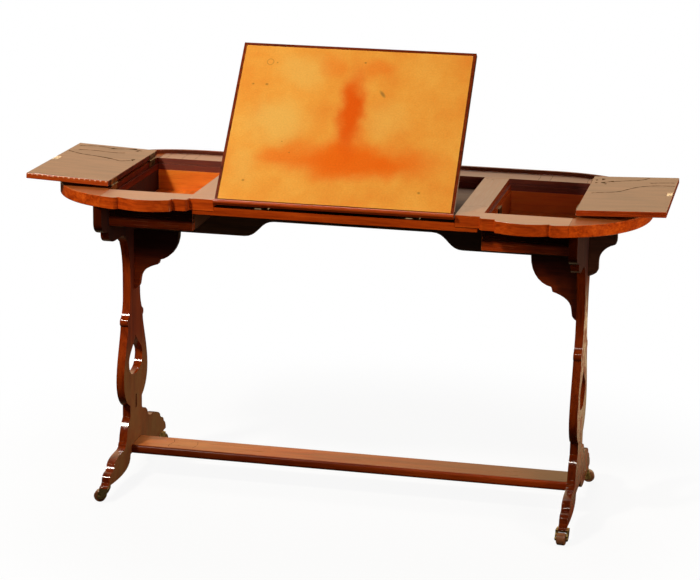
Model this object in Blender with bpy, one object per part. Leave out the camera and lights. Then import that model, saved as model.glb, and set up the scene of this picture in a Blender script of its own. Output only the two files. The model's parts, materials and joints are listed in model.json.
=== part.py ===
"""A reading table of polished mahogany on two lyre trestles.

The shaped top has a low gallery along its back, a leather-lined reading flap that a prop and a ratchet
hold up, and two compartments whose lids fold out flat. It is shown with the flap raised and the lids open.
Metres, +Z up, the origin on the floor under the middle of the top. The front looks along -Y.
"""

import math

import bmesh
import bpy
from mathutils import Vector

# Clearance between pieces that touch
GAP = 0.0003

# Top: overall height, thickness and plan outline
TOP_HEIGHT = 0.735
TOP_THICK = 0.027
TOP_BACK_Y = 0.270
END_CENTRE_X = 0.425
END_REACH = 0.258
END_FULLNESS = 2.25
CENTRE_EDGE_Y = 0.222
STEP_X = 0.336
STEP_WIDTH = 0.035
STEP_OUT = 0.0175
STEP_ROUND = 0.009
LOBE_WIDTH = 0.110
LOBE_BULGE = 0.013
CREASE_DEPTH = 0.0015
CREASE_ROUND = 0.012

# Openings in the top: two lidded compartments and the well under the flap
COMPARTMENT_IN_X = 0.330
COMPARTMENT_OUT_X = 0.529
OPENING_FRONT_Y = -0.182
OPENING_BACK_Y = 0.195
WELL_HALF = 0.2715
REBATE_LEDGE = 0.005

# Front rail under the flap's nose
FRONT_RAIL_HEIGHT = 0.019
RAIL_LAP_CLEAR = 0.006

# Gallery along the back edge
GALLERY_HEIGHT = 0.010
GALLERY_THICK = 0.007
GALLERY_INSET = 0.001
GALLERY_RAMP = 0.045
GALLERY_LAP = 0.012

# Lids and their butt hinges
LID_THICK = 0.0128
LID_SEAT_CLEAR = 0.0007
LID_CLEAR = 0.001
LID_EASE = 0.0015
LID_TILT = math.radians(2.25)
PIN_RISE = 0.0027
KNUCKLE_RADIUS = 0.0024
PIN_RADIUS = 0.0011
PIN_CLEAR = 0.0003
LEAF_THICK = 0.001
LEAF_SPACE = 0.0002
LEAF_LENGTH = 0.046
LEAF_DEPTH = 0.0145
LID_HINGE_INSET = 0.040
STRIKE_LENGTH = 0.036
STRIKE_WIDTH = 0.014
STRIKE_THICK = 0.0009
LOCK_LENGTH = 0.040
LOCK_HEIGHT = 0.024
LOCK_THICK = 0.0035

# Compartment boxes
BOX_WALL = 0.016
BOX_SIDE = 0.008
BOX_BOTTOM = 0.006
BOX_DEPTH = 0.055

# Reading flap, its leather and nosing
FLAP_ANGLE = math.radians(50.5)
FLAP_SEAT_CLEAR = 0.0005
FLAP_SIDE_CLEAR = 0.003
FLAP_END_CLEAR = 0.001
FLAP_AXIS_INSET = 0.0025
FLAP_AXIS_RISE = 0.0015
FLAP_NOSE_SPACE = 0.003
FLAP_HINGE_SPACE = 0.004
NOSING_SIDE_CLEAR = 0.0015
NOSING_OVERHANG = 0.003
NOSING_WIDTH = 0.010
NOSING_RISE = 0.006
NOSING_FOOT_DROP = 0.0075
LEATHER_MARGIN = 0.0065
LEATHER_RECESS = 0.0012
FLAP_HINGE_INSET = 0.0985
FLAP_LEAF_WIDTH = 0.020

# Prop, its brackets and the ratchet that its foot stands on
PROP_LENGTH = 0.195
PROP_CLEAR = 0.0008
PROP_HALF_WIDTH = 0.075
PROP_ROUND = 0.003
PROP_PIN_RADIUS = 0.0014
PROP_PIN_REACH = 0.010
PROP_BRACKET_THICK = 0.003
PROP_BRACKET_FLANGE = 0.018
PROP_BRACKET_HALF = 0.013
PROP_BRACKET_PLATE = 0.0014
RACK_HALF_WIDTH = 0.060
RACK_LEAD = 0.068
RACK_TEETH = 7
RACK_PITCH = 0.018
RACK_TOOTH = 0.0026
RACK_CLEAR = 0.0004
FLOOR_THICK = 0.008
FLOOR_SIDE_CLEAR = 0.011
FLOOR_BACK_LAP = 0.030

# Spine under the top, with its brackets
SPINE_THICK = 0.018
SPINE_HEIGHT = 0.0482
ARCH_RISE = 0.038
OGEE_LOW_X = 0.257
OGEE_WIDTH = 0.072
BRACKET_REACH = 0.1105
BRACKET_DROP = 0.147
OUTER_REACH = 0.0625
OUTER_DROP = 0.144

# Trestles: half outline, the head measured down from the top and the rest up from the floor
TRESTLE_THICK = 0.019
HEAD_HALF = 0.247
HEAD_EDGE = 0.040
SHOULDER_HALF = 0.196
SHOULDER_DROP = 0.069
SHOULDER_STEP = 0.009
SHOULDER_UNDER_DROP = 0.100
SHOULDER_IN = 0.095
CURL = 0.024
NECK_HALF = 0.0375
NECK_TOP_DROP = 0.208
NECK_FOOT = 0.452
COLLAR_HALF = 0.050
COLLAR_DROP = 0.050
BEAD_OUT = 0.008
BEAD_HEIGHT = 0.022
LYRE_HALF = 0.0925
LYRE_RISE = 0.090
LYRE_ARM = 0.0405
LYRE_FOOT_RISE = 0.021
LYRE_HOLE_DROP = 0.107
LYRE_HOLE_RISE = 0.090
WAIST_HALF = 0.046
WAIST_Z = 0.160
WAIST_HEIGHT = 0.008
SHELF = 0.007
SHELF_DROP = 0.0055
HIP_HALF = 0.077
HIP_Z = 0.101
INSTEP_HALF = 0.105
INSTEP_Z = 0.086
KNEE_RUN = 0.035
KNEE_Z = 0.068
ANKLE_RUN = 0.019
ANKLE_Z = 0.044
TOE_Y = 0.228
TOE_SEAT = 0.030
ARCH_Z = 0.060

# The back feet are fuller and longer than the front ones
BACK_HIP_HALF = 0.083
BACK_HIP_Z = 0.135
BACK_INSTEP_HALF = 0.114
BACK_INSTEP_Z = 0.110
BACK_KNEE_RUN = 0.028
BACK_KNEE_Z = 0.080
BACK_ANKLE_RUN = 0.017
BACK_ANKLE_Z = 0.060
BACK_TOE_OUT = 0.015
BACK_FULLNESS = 0.5

# The slot low in the lyre
SLOT_HALF = 0.004
SLOT_RISE = 0.004
SLOT_LENGTH = 0.034

# Stretcher between the trestles
STRETCHER_HALF = 0.042
STRETCHER_THICK = 0.022
STRETCHER_ROUND = 0.008

# Casters
CASTER_INSET = 0.014
CASTER_TRAIL = 0.011
WHEEL_RADIUS = 0.014
WHEEL_WIDTH = 0.020
WHEEL_CROWN = 0.0025
WHEEL_SIDE_CLEAR = 0.0008
WHEEL_TOP_CLEAR = 0.0012
CHEEK_THICK = 0.0035
AXLE_RADIUS = 0.0025
HORN_HALF = 0.0105
HORN_CROWN = 0.005
CASTERS = {"front_left": (-1, -1, 185.0), "front_right": (1, -1, 265.0), "back_left": (-1, 1, 60.0),
           "back_right": (1, 1, 10.0)}

# Places worked out from the sizes above
UNDERSIDE = TOP_HEIGHT - TOP_THICK
STEP_EDGE_Y = CENTRE_EDGE_Y + STEP_OUT
LOBE_EDGE_Y = STEP_EDGE_Y + STEP_OUT
LOBE_START_X = STEP_X + STEP_WIDTH
CREASE_X = LOBE_START_X + LOBE_WIDTH
CREASE_Y = LOBE_EDGE_Y - CREASE_DEPTH
REBATE_DEPTH = LID_THICK + LID_SEAT_CLEAR
LEDGE_TOP = TOP_HEIGHT - REBATE_DEPTH
INNER_IN_X = COMPARTMENT_IN_X + REBATE_LEDGE
INNER_OUT_X = COMPARTMENT_OUT_X - REBATE_LEDGE
INNER_FRONT_Y = OPENING_FRONT_Y + REBATE_LEDGE
INNER_BACK_Y = OPENING_BACK_Y - REBATE_LEDGE
WELL_INNER = WELL_HALF - REBATE_LEDGE
BOX_IN_X = INNER_IN_X - BOX_SIDE
BOX_UNDER = UNDERSIDE - BOX_DEPTH
TRESTLE_IN = INNER_OUT_X
TRESTLE_X = TRESTLE_IN + TRESTLE_THICK / 2
TRESTLE_OUT = TRESTLE_IN + TRESTLE_THICK
LEAF_STACK = LEAF_SPACE + LEAF_THICK + GAP
LID_PIN_X = COMPARTMENT_OUT_X - LEAF_STACK
LID_PIN_Z = TOP_HEIGHT + PIN_RISE
FLAP_HALF = WELL_HALF - FLAP_SIDE_CLEAR
FLAP_HINGE_X = FLAP_HALF - FLAP_HINGE_INSET
FLAP_THICK = REBATE_DEPTH - FLAP_SEAT_CLEAR
FLAP_FACE = FLAP_THICK - FLAP_AXIS_RISE
FLAP_UNDER = -FLAP_AXIS_RISE
FLAP_AXIS_Y = -CENTRE_EDGE_Y + FLAP_AXIS_INSET
FLAP_AXIS_Z = TOP_HEIGHT - FLAP_FACE
FLAP_FRONT = FLAP_NOSE_SPACE
FLAP_BACK = OPENING_BACK_Y - FLAP_END_CLEAR - FLAP_AXIS_Y
NOSING_BACK = NOSING_WIDTH - NOSING_OVERHANG
RAIL_TOP = TOP_HEIGHT - FLAP_THICK - FLAP_HINGE_SPACE
RAIL_UNDER = RAIL_TOP - FRONT_RAIL_HEIGHT
FLOOR_TOP = UNDERSIDE - GAP
FLOOR_UNDER = FLOOR_TOP - FLOOR_THICK
PROP_PIVOT_DROP = FLAP_AXIS_RISE + PROP_CLEAR + PROP_ROUND
PROP_SLOPE = math.atan2(PROP_PIVOT_DROP, PROP_LENGTH)
PROP_REACH = math.hypot(PROP_LENGTH, PROP_PIVOT_DROP)
PROP_FOOT_Y = FLAP_AXIS_Y + 2 * PROP_REACH * math.cos(FLAP_ANGLE) * math.cos(PROP_SLOPE)
SPINE_UNDER = BOX_UNDER - GAP - SPINE_HEIGHT
WHEEL_SPACE = WHEEL_RADIUS * 2 + WHEEL_TOP_CLEAR
TOE_UNDER = WHEEL_SPACE + HORN_CROWN + GAP
ANKLE_Y = TOE_Y - ANKLE_RUN
KNEE_Y = ANKLE_Y - KNEE_RUN
BACK_TOE_Y = TOE_Y + BACK_TOE_OUT
BACK_ANKLE_Y = BACK_TOE_Y - BACK_ANKLE_RUN
BACK_KNEE_Y = BACK_ANKLE_Y - BACK_KNEE_RUN
CASTER_Y = TOE_Y - CASTER_INSET
BEAD_TOP = NECK_FOOT - COLLAR_DROP
LYRE_WIDE_Z = WAIST_Z + LYRE_RISE
LYRE_FOOT_Z = WAIST_Z + LYRE_FOOT_RISE
LYRE_HOLE_HALF = LYRE_HALF - LYRE_ARM
LYRE_HOLE_TOP = NECK_FOOT - LYRE_HOLE_DROP
LYRE_HOLE_FOOT = WAIST_Z + LYRE_HOLE_RISE
CURVE_STEPS = 7
FAR = 1.0
MORE = 0.01


def clear_scene():
    for found in list(bpy.data.objects):
        bpy.data.objects.remove(found, do_unlink=True)


def finish(name, colour, roughness, metallic=0.0):
    made = bpy.data.materials.new(name)
    made.use_nodes = True
    shader = made.node_tree.nodes["Principled BSDF"]
    shader.inputs["Base Color"].default_value = (*colour, 1.0)
    shader.inputs["Roughness"].default_value = roughness
    shader.inputs["Metallic"].default_value = metallic
    made.diffuse_color = (*colour, 1.0)
    return made


def add(name, shape, look, parent=None, at=(0.0, 0.0, 0.0)):
    """Turns a bmesh into a named object, smooth where it is round."""
    mesh = bpy.data.meshes.new(name)
    bmesh.ops.recalc_face_normals(shape, faces=shape.faces)
    shape.to_mesh(mesh)
    shape.free()
    mesh.shade_smooth()
    mesh.set_sharp_from_angle(angle=math.radians(35))
    mesh.materials.append(look)
    made = bpy.data.objects.new(name, mesh)
    bpy.context.scene.collection.objects.link(made)
    made.parent = parent
    made.location = at
    return made


def box(name, low, high, look, parent=None, ease=0.0):
    """A board between two corners, its origin in its middle, its edges eased by a small round."""
    shape = bmesh.new()
    bmesh.ops.create_cube(shape, size=1.0)
    size = Vector(high) - Vector(low)
    bmesh.ops.scale(shape, vec=size, verts=shape.verts)
    if ease:
        bmesh.ops.bevel(shape, geom=shape.edges, offset=ease, segments=2, profile=0.5, affect="EDGES")
    return add(name, shape, look, parent, (Vector(low) + Vector(high)) / 2)


def prism(name, outline, axis, low, high, look, parent=None, at=(0.0, 0.0, 0.0)):
    """An outline pushed along an axis: (y, z) along X, (x, z) along Y or (x, y) along Z."""
    order = {"X": (2, 0, 1), "Y": (0, 2, 1), "Z": (0, 1, 2)}[axis]
    shape = bmesh.new()
    corners = []
    for first, second in outline:
        values = (first, second, low)
        corners.append(shape.verts.new([values[i] for i in order]))
    face = shape.faces.new(corners)
    grown = bmesh.ops.extrude_face_region(shape, geom=[face])
    push = Vector([(0.0, 0.0, high - low)[i] for i in order])
    moved = [part for part in grown["geom"] if isinstance(part, bmesh.types.BMVert)]
    bmesh.ops.translate(shape, verts=moved, vec=push)
    return add(name, shape, look, parent, at)


def round_bar(name, centre, axis, low, high, radius, look, parent=None, sides=20):
    """A cylinder along an axis, its middle line through the two other coordinates of centre."""
    outline = []
    for i in range(sides):
        turn = 2 * math.pi * i / sides
        outline.append((centre[0] + radius * math.cos(turn), centre[1] + radius * math.sin(turn)))
    return prism(name, outline, axis, low, high, look, parent)


def helper(made):
    made.hide_render = True
    made.display_type = "WIRE"
    return made


def join(made, other, operation):
    """Cuts, joins or trims an object with a hidden helper."""
    change = made.modifiers.new(operation.lower(), "BOOLEAN")
    change.operation = operation
    change.object = helper(other)
    change.solver = "EXACT"


def bezier(start, first, second, end, steps=CURVE_STEPS):
    """Points of a curve after its start."""
    points = []
    for i in range(1, steps + 1):
        t = i / steps
        s = 1 - t
        parts = (s ** 3, 3 * s * s * t, 3 * s * t * t, t ** 3)
        ends = (start, first, second, end)
        points.append(tuple(sum(k * p[j] for k, p in zip(parts, ends)) for j in range(2)))
    return points


def arc(centre, radius, start, end, steps):
    """Points of an arc in degrees, both ends included."""
    points = []
    for i in range(steps + 1):
        turn = math.radians(start + (end - start) * i / steps)
        points.append((centre[0] + radius * math.cos(turn), centre[1] + radius * math.sin(turn)))
    return points


def mirrored(points):
    return [(-first, second) for first, second in reversed(points)]


def axis_empty(name, at, turn=(0.0, 0.0, 0.0), parent=None):
    made = bpy.data.objects.new(name, None)
    bpy.context.scene.collection.objects.link(made)
    made.parent = parent
    made.location = at
    made.rotation_euler = turn
    made.empty_display_size = 0.03
    return made


def side_name(side):
    return "right" if side > 0 else "left"


def end_point(turn, inset):
    """A point of the top's full, nearly round end, or of the same curve set in from the edge."""
    across = math.cos(math.radians(turn))
    back = math.sin(math.radians(turn))
    power = 2 / END_FULLNESS
    x = END_CENTRE_X + (END_REACH - inset) * max(across, 0.0) ** power
    return x, math.copysign((TOP_BACK_Y - inset) * abs(back) ** power, back)


def top_outline():
    """Plan of the top: straight back, round ends, and a front of two lobes with stepped shoulders."""
    lobe_mid = (LOBE_START_X + CREASE_X) / 2
    lobe_width = CREASE_X - LOBE_START_X
    front = [(STEP_X - STEP_ROUND, -CENTRE_EDGE_Y)]
    front += arc((STEP_X, -STEP_EDGE_Y + STEP_ROUND), STEP_ROUND, 180, 270, 4)
    front += [(LOBE_START_X - STEP_ROUND, -STEP_EDGE_Y)]
    front += arc((LOBE_START_X, -LOBE_EDGE_Y + STEP_ROUND), STEP_ROUND, 180, 270, 4)
    crease = (CREASE_X, -CREASE_Y)
    bulge = -LOBE_EDGE_Y - LOBE_BULGE * 4 / 3
    front += bezier(front[-1], (lobe_mid - lobe_width / 6, bulge), (lobe_mid + lobe_width / 6, bulge), crease)
    start = ((CREASE_X + CREASE_ROUND - END_CENTRE_X) / END_REACH) ** (END_FULLNESS / 2)
    start_turn = -math.degrees(math.acos(start))
    steps = 32
    end = [end_point(start_turn + (90 - start_turn) * i / steps, 0.0) for i in range(steps + 1)]
    front += bezier(crease, (crease[0] + CREASE_ROUND / 4, end[0][1]), end[0], end[0], 3)[:-1]
    right = front + end
    return right + mirrored(right)


def frame_piece(name, outline, low, high, cutters, look):
    """One board of the top: the whole outline trimmed to a region, less the openings' rebates."""
    made = prism(name, outline, "Z", UNDERSIDE, TOP_HEIGHT, look)
    region = box(name + "_region", (*low, UNDERSIDE - MORE), (*high, TOP_HEIGHT + MORE), look)
    join(made, region, "INTERSECT")
    for cutter in cutters:
        join(made, cutter, "DIFFERENCE")


def make_top(wood):
    outline = top_outline()
    rebates = {}
    for side in (-1, 1):
        ends = sorted((side * COMPARTMENT_IN_X, side * COMPARTMENT_OUT_X))
        rebates[side] = box(side_name(side) + "_rebate", (ends[0], OPENING_FRONT_Y, LEDGE_TOP),
                            (ends[1], OPENING_BACK_Y, TOP_HEIGHT + MORE), wood)
    well = box("well_rebate", (-WELL_HALF, -FAR, LEDGE_TOP),
               (WELL_HALF, OPENING_BACK_Y, TOP_HEIGHT + MORE), wood)
    inner_end = INNER_OUT_X - GAP
    frame_piece("top_back_rail", outline, (-inner_end, INNER_BACK_Y), (inner_end, FAR),
                (rebates[-1], rebates[1], well), wood)
    for side in (-1, 1):
        name = side_name(side)
        ends = sorted((side * INNER_OUT_X, side * FAR))
        frame_piece("top_end_" + name, outline, (ends[0], -FAR), (ends[1], FAR), (rebates[side],), wood)
        ends = sorted((side * WELL_HALF, side * inner_end))
        frame_piece("top_front_" + name, outline, (ends[0], -FAR), (ends[1], INNER_FRONT_Y),
                    (rebates[side],), wood)
        ends = sorted((side * WELL_INNER, side * INNER_IN_X))
        frame_piece("cross_rail_" + name, outline, (ends[0], INNER_FRONT_Y + GAP),
                    (ends[1], INNER_BACK_Y - GAP), (rebates[side], well), wood)


def make_front_rail(wood):
    """The rail under the flap's nose, thinned at its ends where it laps under the top."""
    inner = WELL_HALF - GAP
    lap_x = BOX_IN_X - RAIL_LAP_CLEAR
    lap_top = UNDERSIDE - GAP
    right = [(lap_x, RAIL_UNDER), (lap_x, lap_top), (inner, lap_top), (inner, RAIL_TOP)]
    prism("centre_front_rail", right + mirrored(right), "Y", -CENTRE_EDGE_Y, INNER_FRONT_Y, wood)


def make_gallery(wood):
    """A low lip along the back, ramped down at its ends, where the open lids come to rest."""
    outer = GALLERY_INSET
    inner = GALLERY_INSET + GALLERY_THICK
    share = (OPENING_BACK_Y - LID_CLEAR) / (TOP_BACK_Y - inner)
    meet_x = END_CENTRE_X + (END_REACH - inner) * (1 - share ** END_FULLNESS) ** (1 / END_FULLNESS)
    lid_rise = PIN_RISE + PIN_RISE * math.cos(LID_TILT) + (meet_x - LID_PIN_X) * math.tan(LID_TILT)
    end_share = (meet_x + GALLERY_LAP - END_CENTRE_X) / (END_REACH - outer)
    end_turn = math.degrees(math.acos(end_share ** (END_FULLNESS / 2)))
    turns = list(range(90, math.ceil(end_turn), -5)) + [end_turn]
    shape = bmesh.new()
    rings = []
    for side, run in ((1, reversed(turns)), (-1, turns)):
        for turn in run:
            past_ramp = end_point(turn, outer)[0] - meet_x + GALLERY_RAMP
            along = min(max(past_ramp / GALLERY_RAMP, 0.0), 1.0)
            height = GALLERY_HEIGHT + (lid_rise - GAP - GALLERY_HEIGHT) * along
            ring = []
            for inset, rise in ((outer, GAP), (outer, height), (inner, height), (inner, GAP)):
                x, y = end_point(turn, inset)
                ring.append(shape.verts.new((side * x, y, TOP_HEIGHT + rise)))
            rings.append(ring)
    for ring, following in zip(rings, rings[1:]):
        for i in range(4):
            j = (i + 1) % 4
            shape.faces.new((ring[i], ring[j], following[j], following[i]))
    shape.faces.new(rings[0])
    shape.faces.new(rings[-1])
    add("back_gallery", shape, wood)


def make_boxes(front_wood, lining, brass):
    """The two compartments: front, back, inner side and bottom. The trestle's head closes the outer side."""
    top = UNDERSIDE - GAP
    for side in (-1, 1):
        name = side_name(side)
        wall = sorted((side * BOX_IN_X, side * (TRESTLE_IN - GAP)))
        box("box_front_" + name, (wall[0], INNER_FRONT_Y - BOX_WALL, BOX_UNDER),
            (wall[1], INNER_FRONT_Y, top), front_wood)
        box("box_back_" + name, (wall[0], INNER_BACK_Y, BOX_UNDER),
            (wall[1], INNER_BACK_Y + BOX_WALL, top), front_wood)
        inner = sorted((side * BOX_IN_X, side * INNER_IN_X))
        box("box_side_" + name, (inner[0], INNER_FRONT_Y + GAP, BOX_UNDER),
            (inner[1], INNER_BACK_Y - GAP, top), lining)
        floor = sorted((side * (INNER_IN_X + GAP), side * (TRESTLE_IN - GAP)))
        box("box_bottom_" + name, (floor[0], INNER_FRONT_Y + GAP, BOX_UNDER),
            (floor[1], INNER_BACK_Y - GAP, BOX_UNDER + BOX_BOTTOM), lining)
        lock = sorted((side * (INNER_IN_X + GAP), side * (INNER_IN_X + GAP + LOCK_THICK)))
        middle = (OPENING_FRONT_Y + OPENING_BACK_Y) / 2
        box("lock_" + name, (lock[0], middle - LOCK_LENGTH / 2, top - LOCK_HEIGHT),
            (lock[1], middle + LOCK_LENGTH / 2, top), brass)


def hinge_leaf(name, axis, middle, plates, moving, brass, parent):
    """Joins a leaf's plates and barrels: the bored middle barrel, or the outer two and the pin."""
    third = LEAF_LENGTH / 3
    half = LEAF_LENGTH / 2
    axle = (0.0, 0.0)
    made = box(name, *plates[0], brass, parent)
    for i, plate in enumerate(plates[1:]):
        join(made, box(f"{name}_web{i}", *plate, brass, parent), "UNION")
    barrels = [(middle - third / 2 + GAP, middle + third / 2 - GAP)]
    if not moving:
        barrels = [(middle - half, middle - third / 2), (middle + third / 2, middle + half)]
    for i, (low, high) in enumerate(barrels):
        barrel = round_bar(f"{name}_barrel{i}", axle, axis, low, high, KNUCKLE_RADIUS, brass, parent, 16)
        join(made, barrel, "UNION")
    reach = LEAF_LENGTH if moving else third
    radius = PIN_RADIUS + PIN_CLEAR if moving else PIN_RADIUS
    pin = round_bar(name + "_pin", axle, axis, middle - reach, middle + reach, radius, brass, parent, 12)
    join(made, pin, "DIFFERENCE" if moving else "UNION")


def make_lids(wood, brass):
    """Lids modelled shut around their hinge axis, then turned over to lie open on the gallery's ends."""
    front = OPENING_FRONT_Y + LID_CLEAR
    back = OPENING_BACK_Y - LID_CLEAR
    middle = (front + back) / 2
    top = -PIN_RISE
    for side in (-1, 1):
        name = side_name(side)
        fixed = axis_empty("lid_seat_" + name, (side * LID_PIN_X, 0.0, LID_PIN_Z))
        turned = axis_empty("lid_axis_" + name, (side * LID_PIN_X, 0.0, LID_PIN_Z),
                            (0.0, side * (math.pi - LID_TILT), 0.0))
        free = COMPARTMENT_IN_X + LID_CLEAR - LID_PIN_X
        across = sorted((side * free, -side * LEAF_STACK))
        under = top - LID_THICK
        lid = box("lid_" + name, (across[0], front, under), (across[1], back, top), wood, turned, LID_EASE)
        reach = sorted((side * (free - MORE), side * (free + STRIKE_WIDTH)))
        mortise = box("strike_mortise_" + name, (reach[0], middle - STRIKE_LENGTH / 2, under - MORE),
                      (reach[1], middle + STRIKE_LENGTH / 2, under + STRIKE_THICK + GAP), wood, turned)
        join(lid, mortise, "DIFFERENCE")
        plate = sorted((side * (free + LID_EASE), side * (free + STRIKE_WIDTH - GAP)))
        box("strike_" + name, (plate[0], middle - STRIKE_LENGTH / 2 + GAP, under),
            (plate[1], middle + STRIKE_LENGTH / 2 - GAP, under + STRIKE_THICK), brass, turned)
        for end, at in (("front", front + LID_HINGE_INSET), ("back", back - LID_HINGE_INSET)):
            third = LEAF_LENGTH / 3
            half = LEAF_LENGTH / 2
            fixed_x = sorted((side * LEAF_SPACE, side * (LEAF_SPACE + LEAF_THICK)))
            moving_x = sorted((-side * LEAF_SPACE, -side * (LEAF_SPACE + LEAF_THICK)))
            foot = -LEAF_DEPTH
            fixed_plates = [((fixed_x[0], at - half, foot), (fixed_x[1], at + half, -KNUCKLE_RADIUS))]
            moving_plates = [((moving_x[0], at - half, foot), (moving_x[1], at + half, -KNUCKLE_RADIUS))]
            near, far = at - third / 2 + GAP, at + third / 2 - GAP
            moving_plates.append(((moving_x[0], near, foot), (moving_x[1], far, 0.0)))
            for run in ((at - half, at - third / 2), (at + third / 2, at + half)):
                fixed_plates.append(((fixed_x[0], run[0], foot), (fixed_x[1], run[1], 0.0)))
            hinge_leaf(f"lid_hinge_{name}_{end}_fixed", "Y", at, fixed_plates, False, brass, fixed)
            hinge_leaf(f"lid_hinge_{name}_{end}_moving", "Y", at, moving_plates, True, brass, turned)


def make_flap(wood, leather, brass):
    """The reading flap, modelled shut around its hinge axis and then raised."""
    turned = axis_empty("flap_axis", (0.0, FLAP_AXIS_Y, FLAP_AXIS_Z), (FLAP_ANGLE, 0.0, 0.0))
    flap = box("flap_board", (-FLAP_HALF, FLAP_FRONT, FLAP_UNDER), (FLAP_HALF, FLAP_BACK, FLAP_FACE),
               wood, turned)
    edge = FLAP_HALF - LEATHER_MARGIN
    low = Vector((-edge, NOSING_BACK + LEATHER_MARGIN / 2, FLAP_FACE - LEATHER_RECESS))
    high = Vector((edge, FLAP_BACK - LEATHER_MARGIN, FLAP_FACE))
    join(flap, box("leather_recess", low, high + Vector((0.0, 0.0, MORE)), wood, turned), "DIFFERENCE")
    box("flap_leather", low + Vector((GAP, GAP, GAP)), high - Vector((GAP, GAP, 0.0)), leather, turned)
    make_nosing(wood, turned)
    make_flap_hinges(brass, turned)
    make_prop(wood, brass, turned)


def make_nosing(wood, turned):
    """The bullnose strip round the flap's front arris, which keeps a book from sliding off."""
    face = FLAP_FACE + GAP
    front = -NOSING_OVERHANG
    back = NOSING_BACK
    inner = FLAP_FRONT - GAP
    foot = face - NOSING_FOOT_DROP
    round_off = NOSING_WIDTH / 2
    foot_round = round_off / 2
    shoulder = face + NOSING_RISE - round_off
    half = WELL_HALF - NOSING_SIDE_CLEAR
    outline = [(inner, face), (back, face)]
    outline += arc(((front + back) / 2, shoulder), round_off, 0, 180, 10)
    outline += arc((front + foot_round, foot + foot_round), foot_round, 180, 270, 4)
    outline += [(inner, foot)]
    prism("flap_nosing", outline, "X", -half, half, wood, turned)


def make_flap_hinges(brass, turned):
    """Two butt hinges between the front rail's top and the flap's underside."""
    fixed = axis_empty("flap_seat", (0.0, FLAP_AXIS_Y, FLAP_AXIS_Z))
    rail = RAIL_TOP - FLAP_AXIS_Z + GAP
    under = FLAP_UNDER - GAP
    third = LEAF_LENGTH / 3
    half = LEAF_LENGTH / 2
    web = LEAF_THICK / 2
    for side in (-1, 1):
        at = side * FLAP_HINGE_X
        fixed_plates = [((at - half, -web, rail), (at + half, FLAP_LEAF_WIDTH, rail + LEAF_THICK))]
        for run in ((at - half, at - third / 2), (at + third / 2, at + half)):
            fixed_plates.append(((run[0], -web, rail), (run[1], web, -KNUCKLE_RADIUS / 2)))
        foot = under - LEAF_THICK
        near, far = at - third / 2 + GAP, at + third / 2 - GAP
        moving_plates = [((at - half, KNUCKLE_RADIUS + GAP, foot), (at + half, FLAP_LEAF_WIDTH, under)),
                         ((near, 0.0, foot), (far, FLAP_LEAF_WIDTH, under))]
        name = side_name(side)
        hinge_leaf(f"flap_hinge_{name}_fixed", "X", at, fixed_plates, False, brass, fixed)
        hinge_leaf(f"flap_hinge_{name}_moving", "X", at, moving_plates, True, brass, turned)


def make_prop(wood, brass, turned):
    """The prop hangs from two brackets under the flap; its foot runs along a line through the flap's axis."""
    pivot = (0.0, PROP_LENGTH, -PROP_PIVOT_DROP)
    swing = axis_empty("prop_axis", pivot, (-PROP_SLOPE - 2 * FLAP_ANGLE, 0.0, 0.0), turned)
    outline = arc((0.0, 0.0), PROP_ROUND, 90, 270, 8) + arc((PROP_REACH, 0.0), PROP_ROUND, -90, 90, 8)
    prop = prism("prop", outline, "X", -PROP_HALF_WIDTH, PROP_HALF_WIDTH, wood, swing)
    for side in (-1, 1):
        reach = sorted((side * (PROP_HALF_WIDTH + MORE), side * (PROP_HALF_WIDTH - PROP_PIN_REACH - GAP)))
        bore = round_bar("prop_bore_" + side_name(side), (0.0, 0.0), "X", *reach, PROP_PIN_RADIUS + GAP,
                         wood, swing, 12)
        join(prop, bore, "DIFFERENCE")
        make_prop_bracket(side, pivot, brass, turned)


def make_prop_bracket(side, pivot, brass, turned):
    under = FLAP_UNDER - GAP
    near = side * (PROP_HALF_WIDTH + GAP)
    far = near + side * PROP_BRACKET_THICK
    half = PROP_BRACKET_HALF / 2
    lug = [(pivot[1] - half, under)] + arc(pivot[1:], PROP_ROUND, 180, 360, 8) + [(pivot[1] + half, under)]
    name = "prop_bracket_" + side_name(side)
    made = prism(name, lug, "X", *sorted((near, far)), brass, turned)
    ends = sorted((near + side * PROP_BRACKET_THICK / 3, far + side * PROP_BRACKET_FLANGE))
    flange = box(name + "_flange", (ends[0], pivot[1] - PROP_BRACKET_HALF, under - PROP_BRACKET_PLATE),
                 (ends[1], pivot[1] + PROP_BRACKET_HALF, under - GAP / 10), brass, turned)
    join(made, flange, "UNION")
    ends = sorted((near + side * PROP_BRACKET_THICK / 2, near - side * PROP_PIN_REACH))
    pin = round_bar(name + "_pin", pivot[1:], "X", *ends, PROP_PIN_RADIUS, brass, turned, 12)
    join(made, pin, "UNION")


def make_well(wood, rack_wood):
    """The floor under the flap and the toothed rack for the prop's foot."""
    front = INNER_FRONT_Y + GAP
    back = OPENING_BACK_Y + FLOOR_BACK_LAP
    half = BOX_IN_X - FLOOR_SIDE_CLEAR
    box("well_floor", (-half, front, FLOOR_UNDER), (half, back, FLOOR_TOP), wood)
    foot = FLOOR_TOP + GAP
    tooth_line = FLAP_AXIS_Z - (PROP_ROUND + RACK_CLEAR) / math.cos(PROP_SLOPE)
    first = PROP_FOOT_Y - RACK_LEAD
    outline = []
    for i in range(RACK_TEETH + 1):
        y = first + i * RACK_PITCH
        crest = tooth_line - math.tan(PROP_SLOPE) * (y - FLAP_AXIS_Y)
        outline += [(y, crest - RACK_TOOTH), (y, crest)]
    end = outline.pop()[0]
    start = first - RACK_PITCH
    outline += [(end, foot), (start, foot), (start, outline[0][1])]
    prism("ratchet_rack", outline, "X", -RACK_HALF_WIDTH, RACK_HALF_WIDTH, rack_wood)


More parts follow.
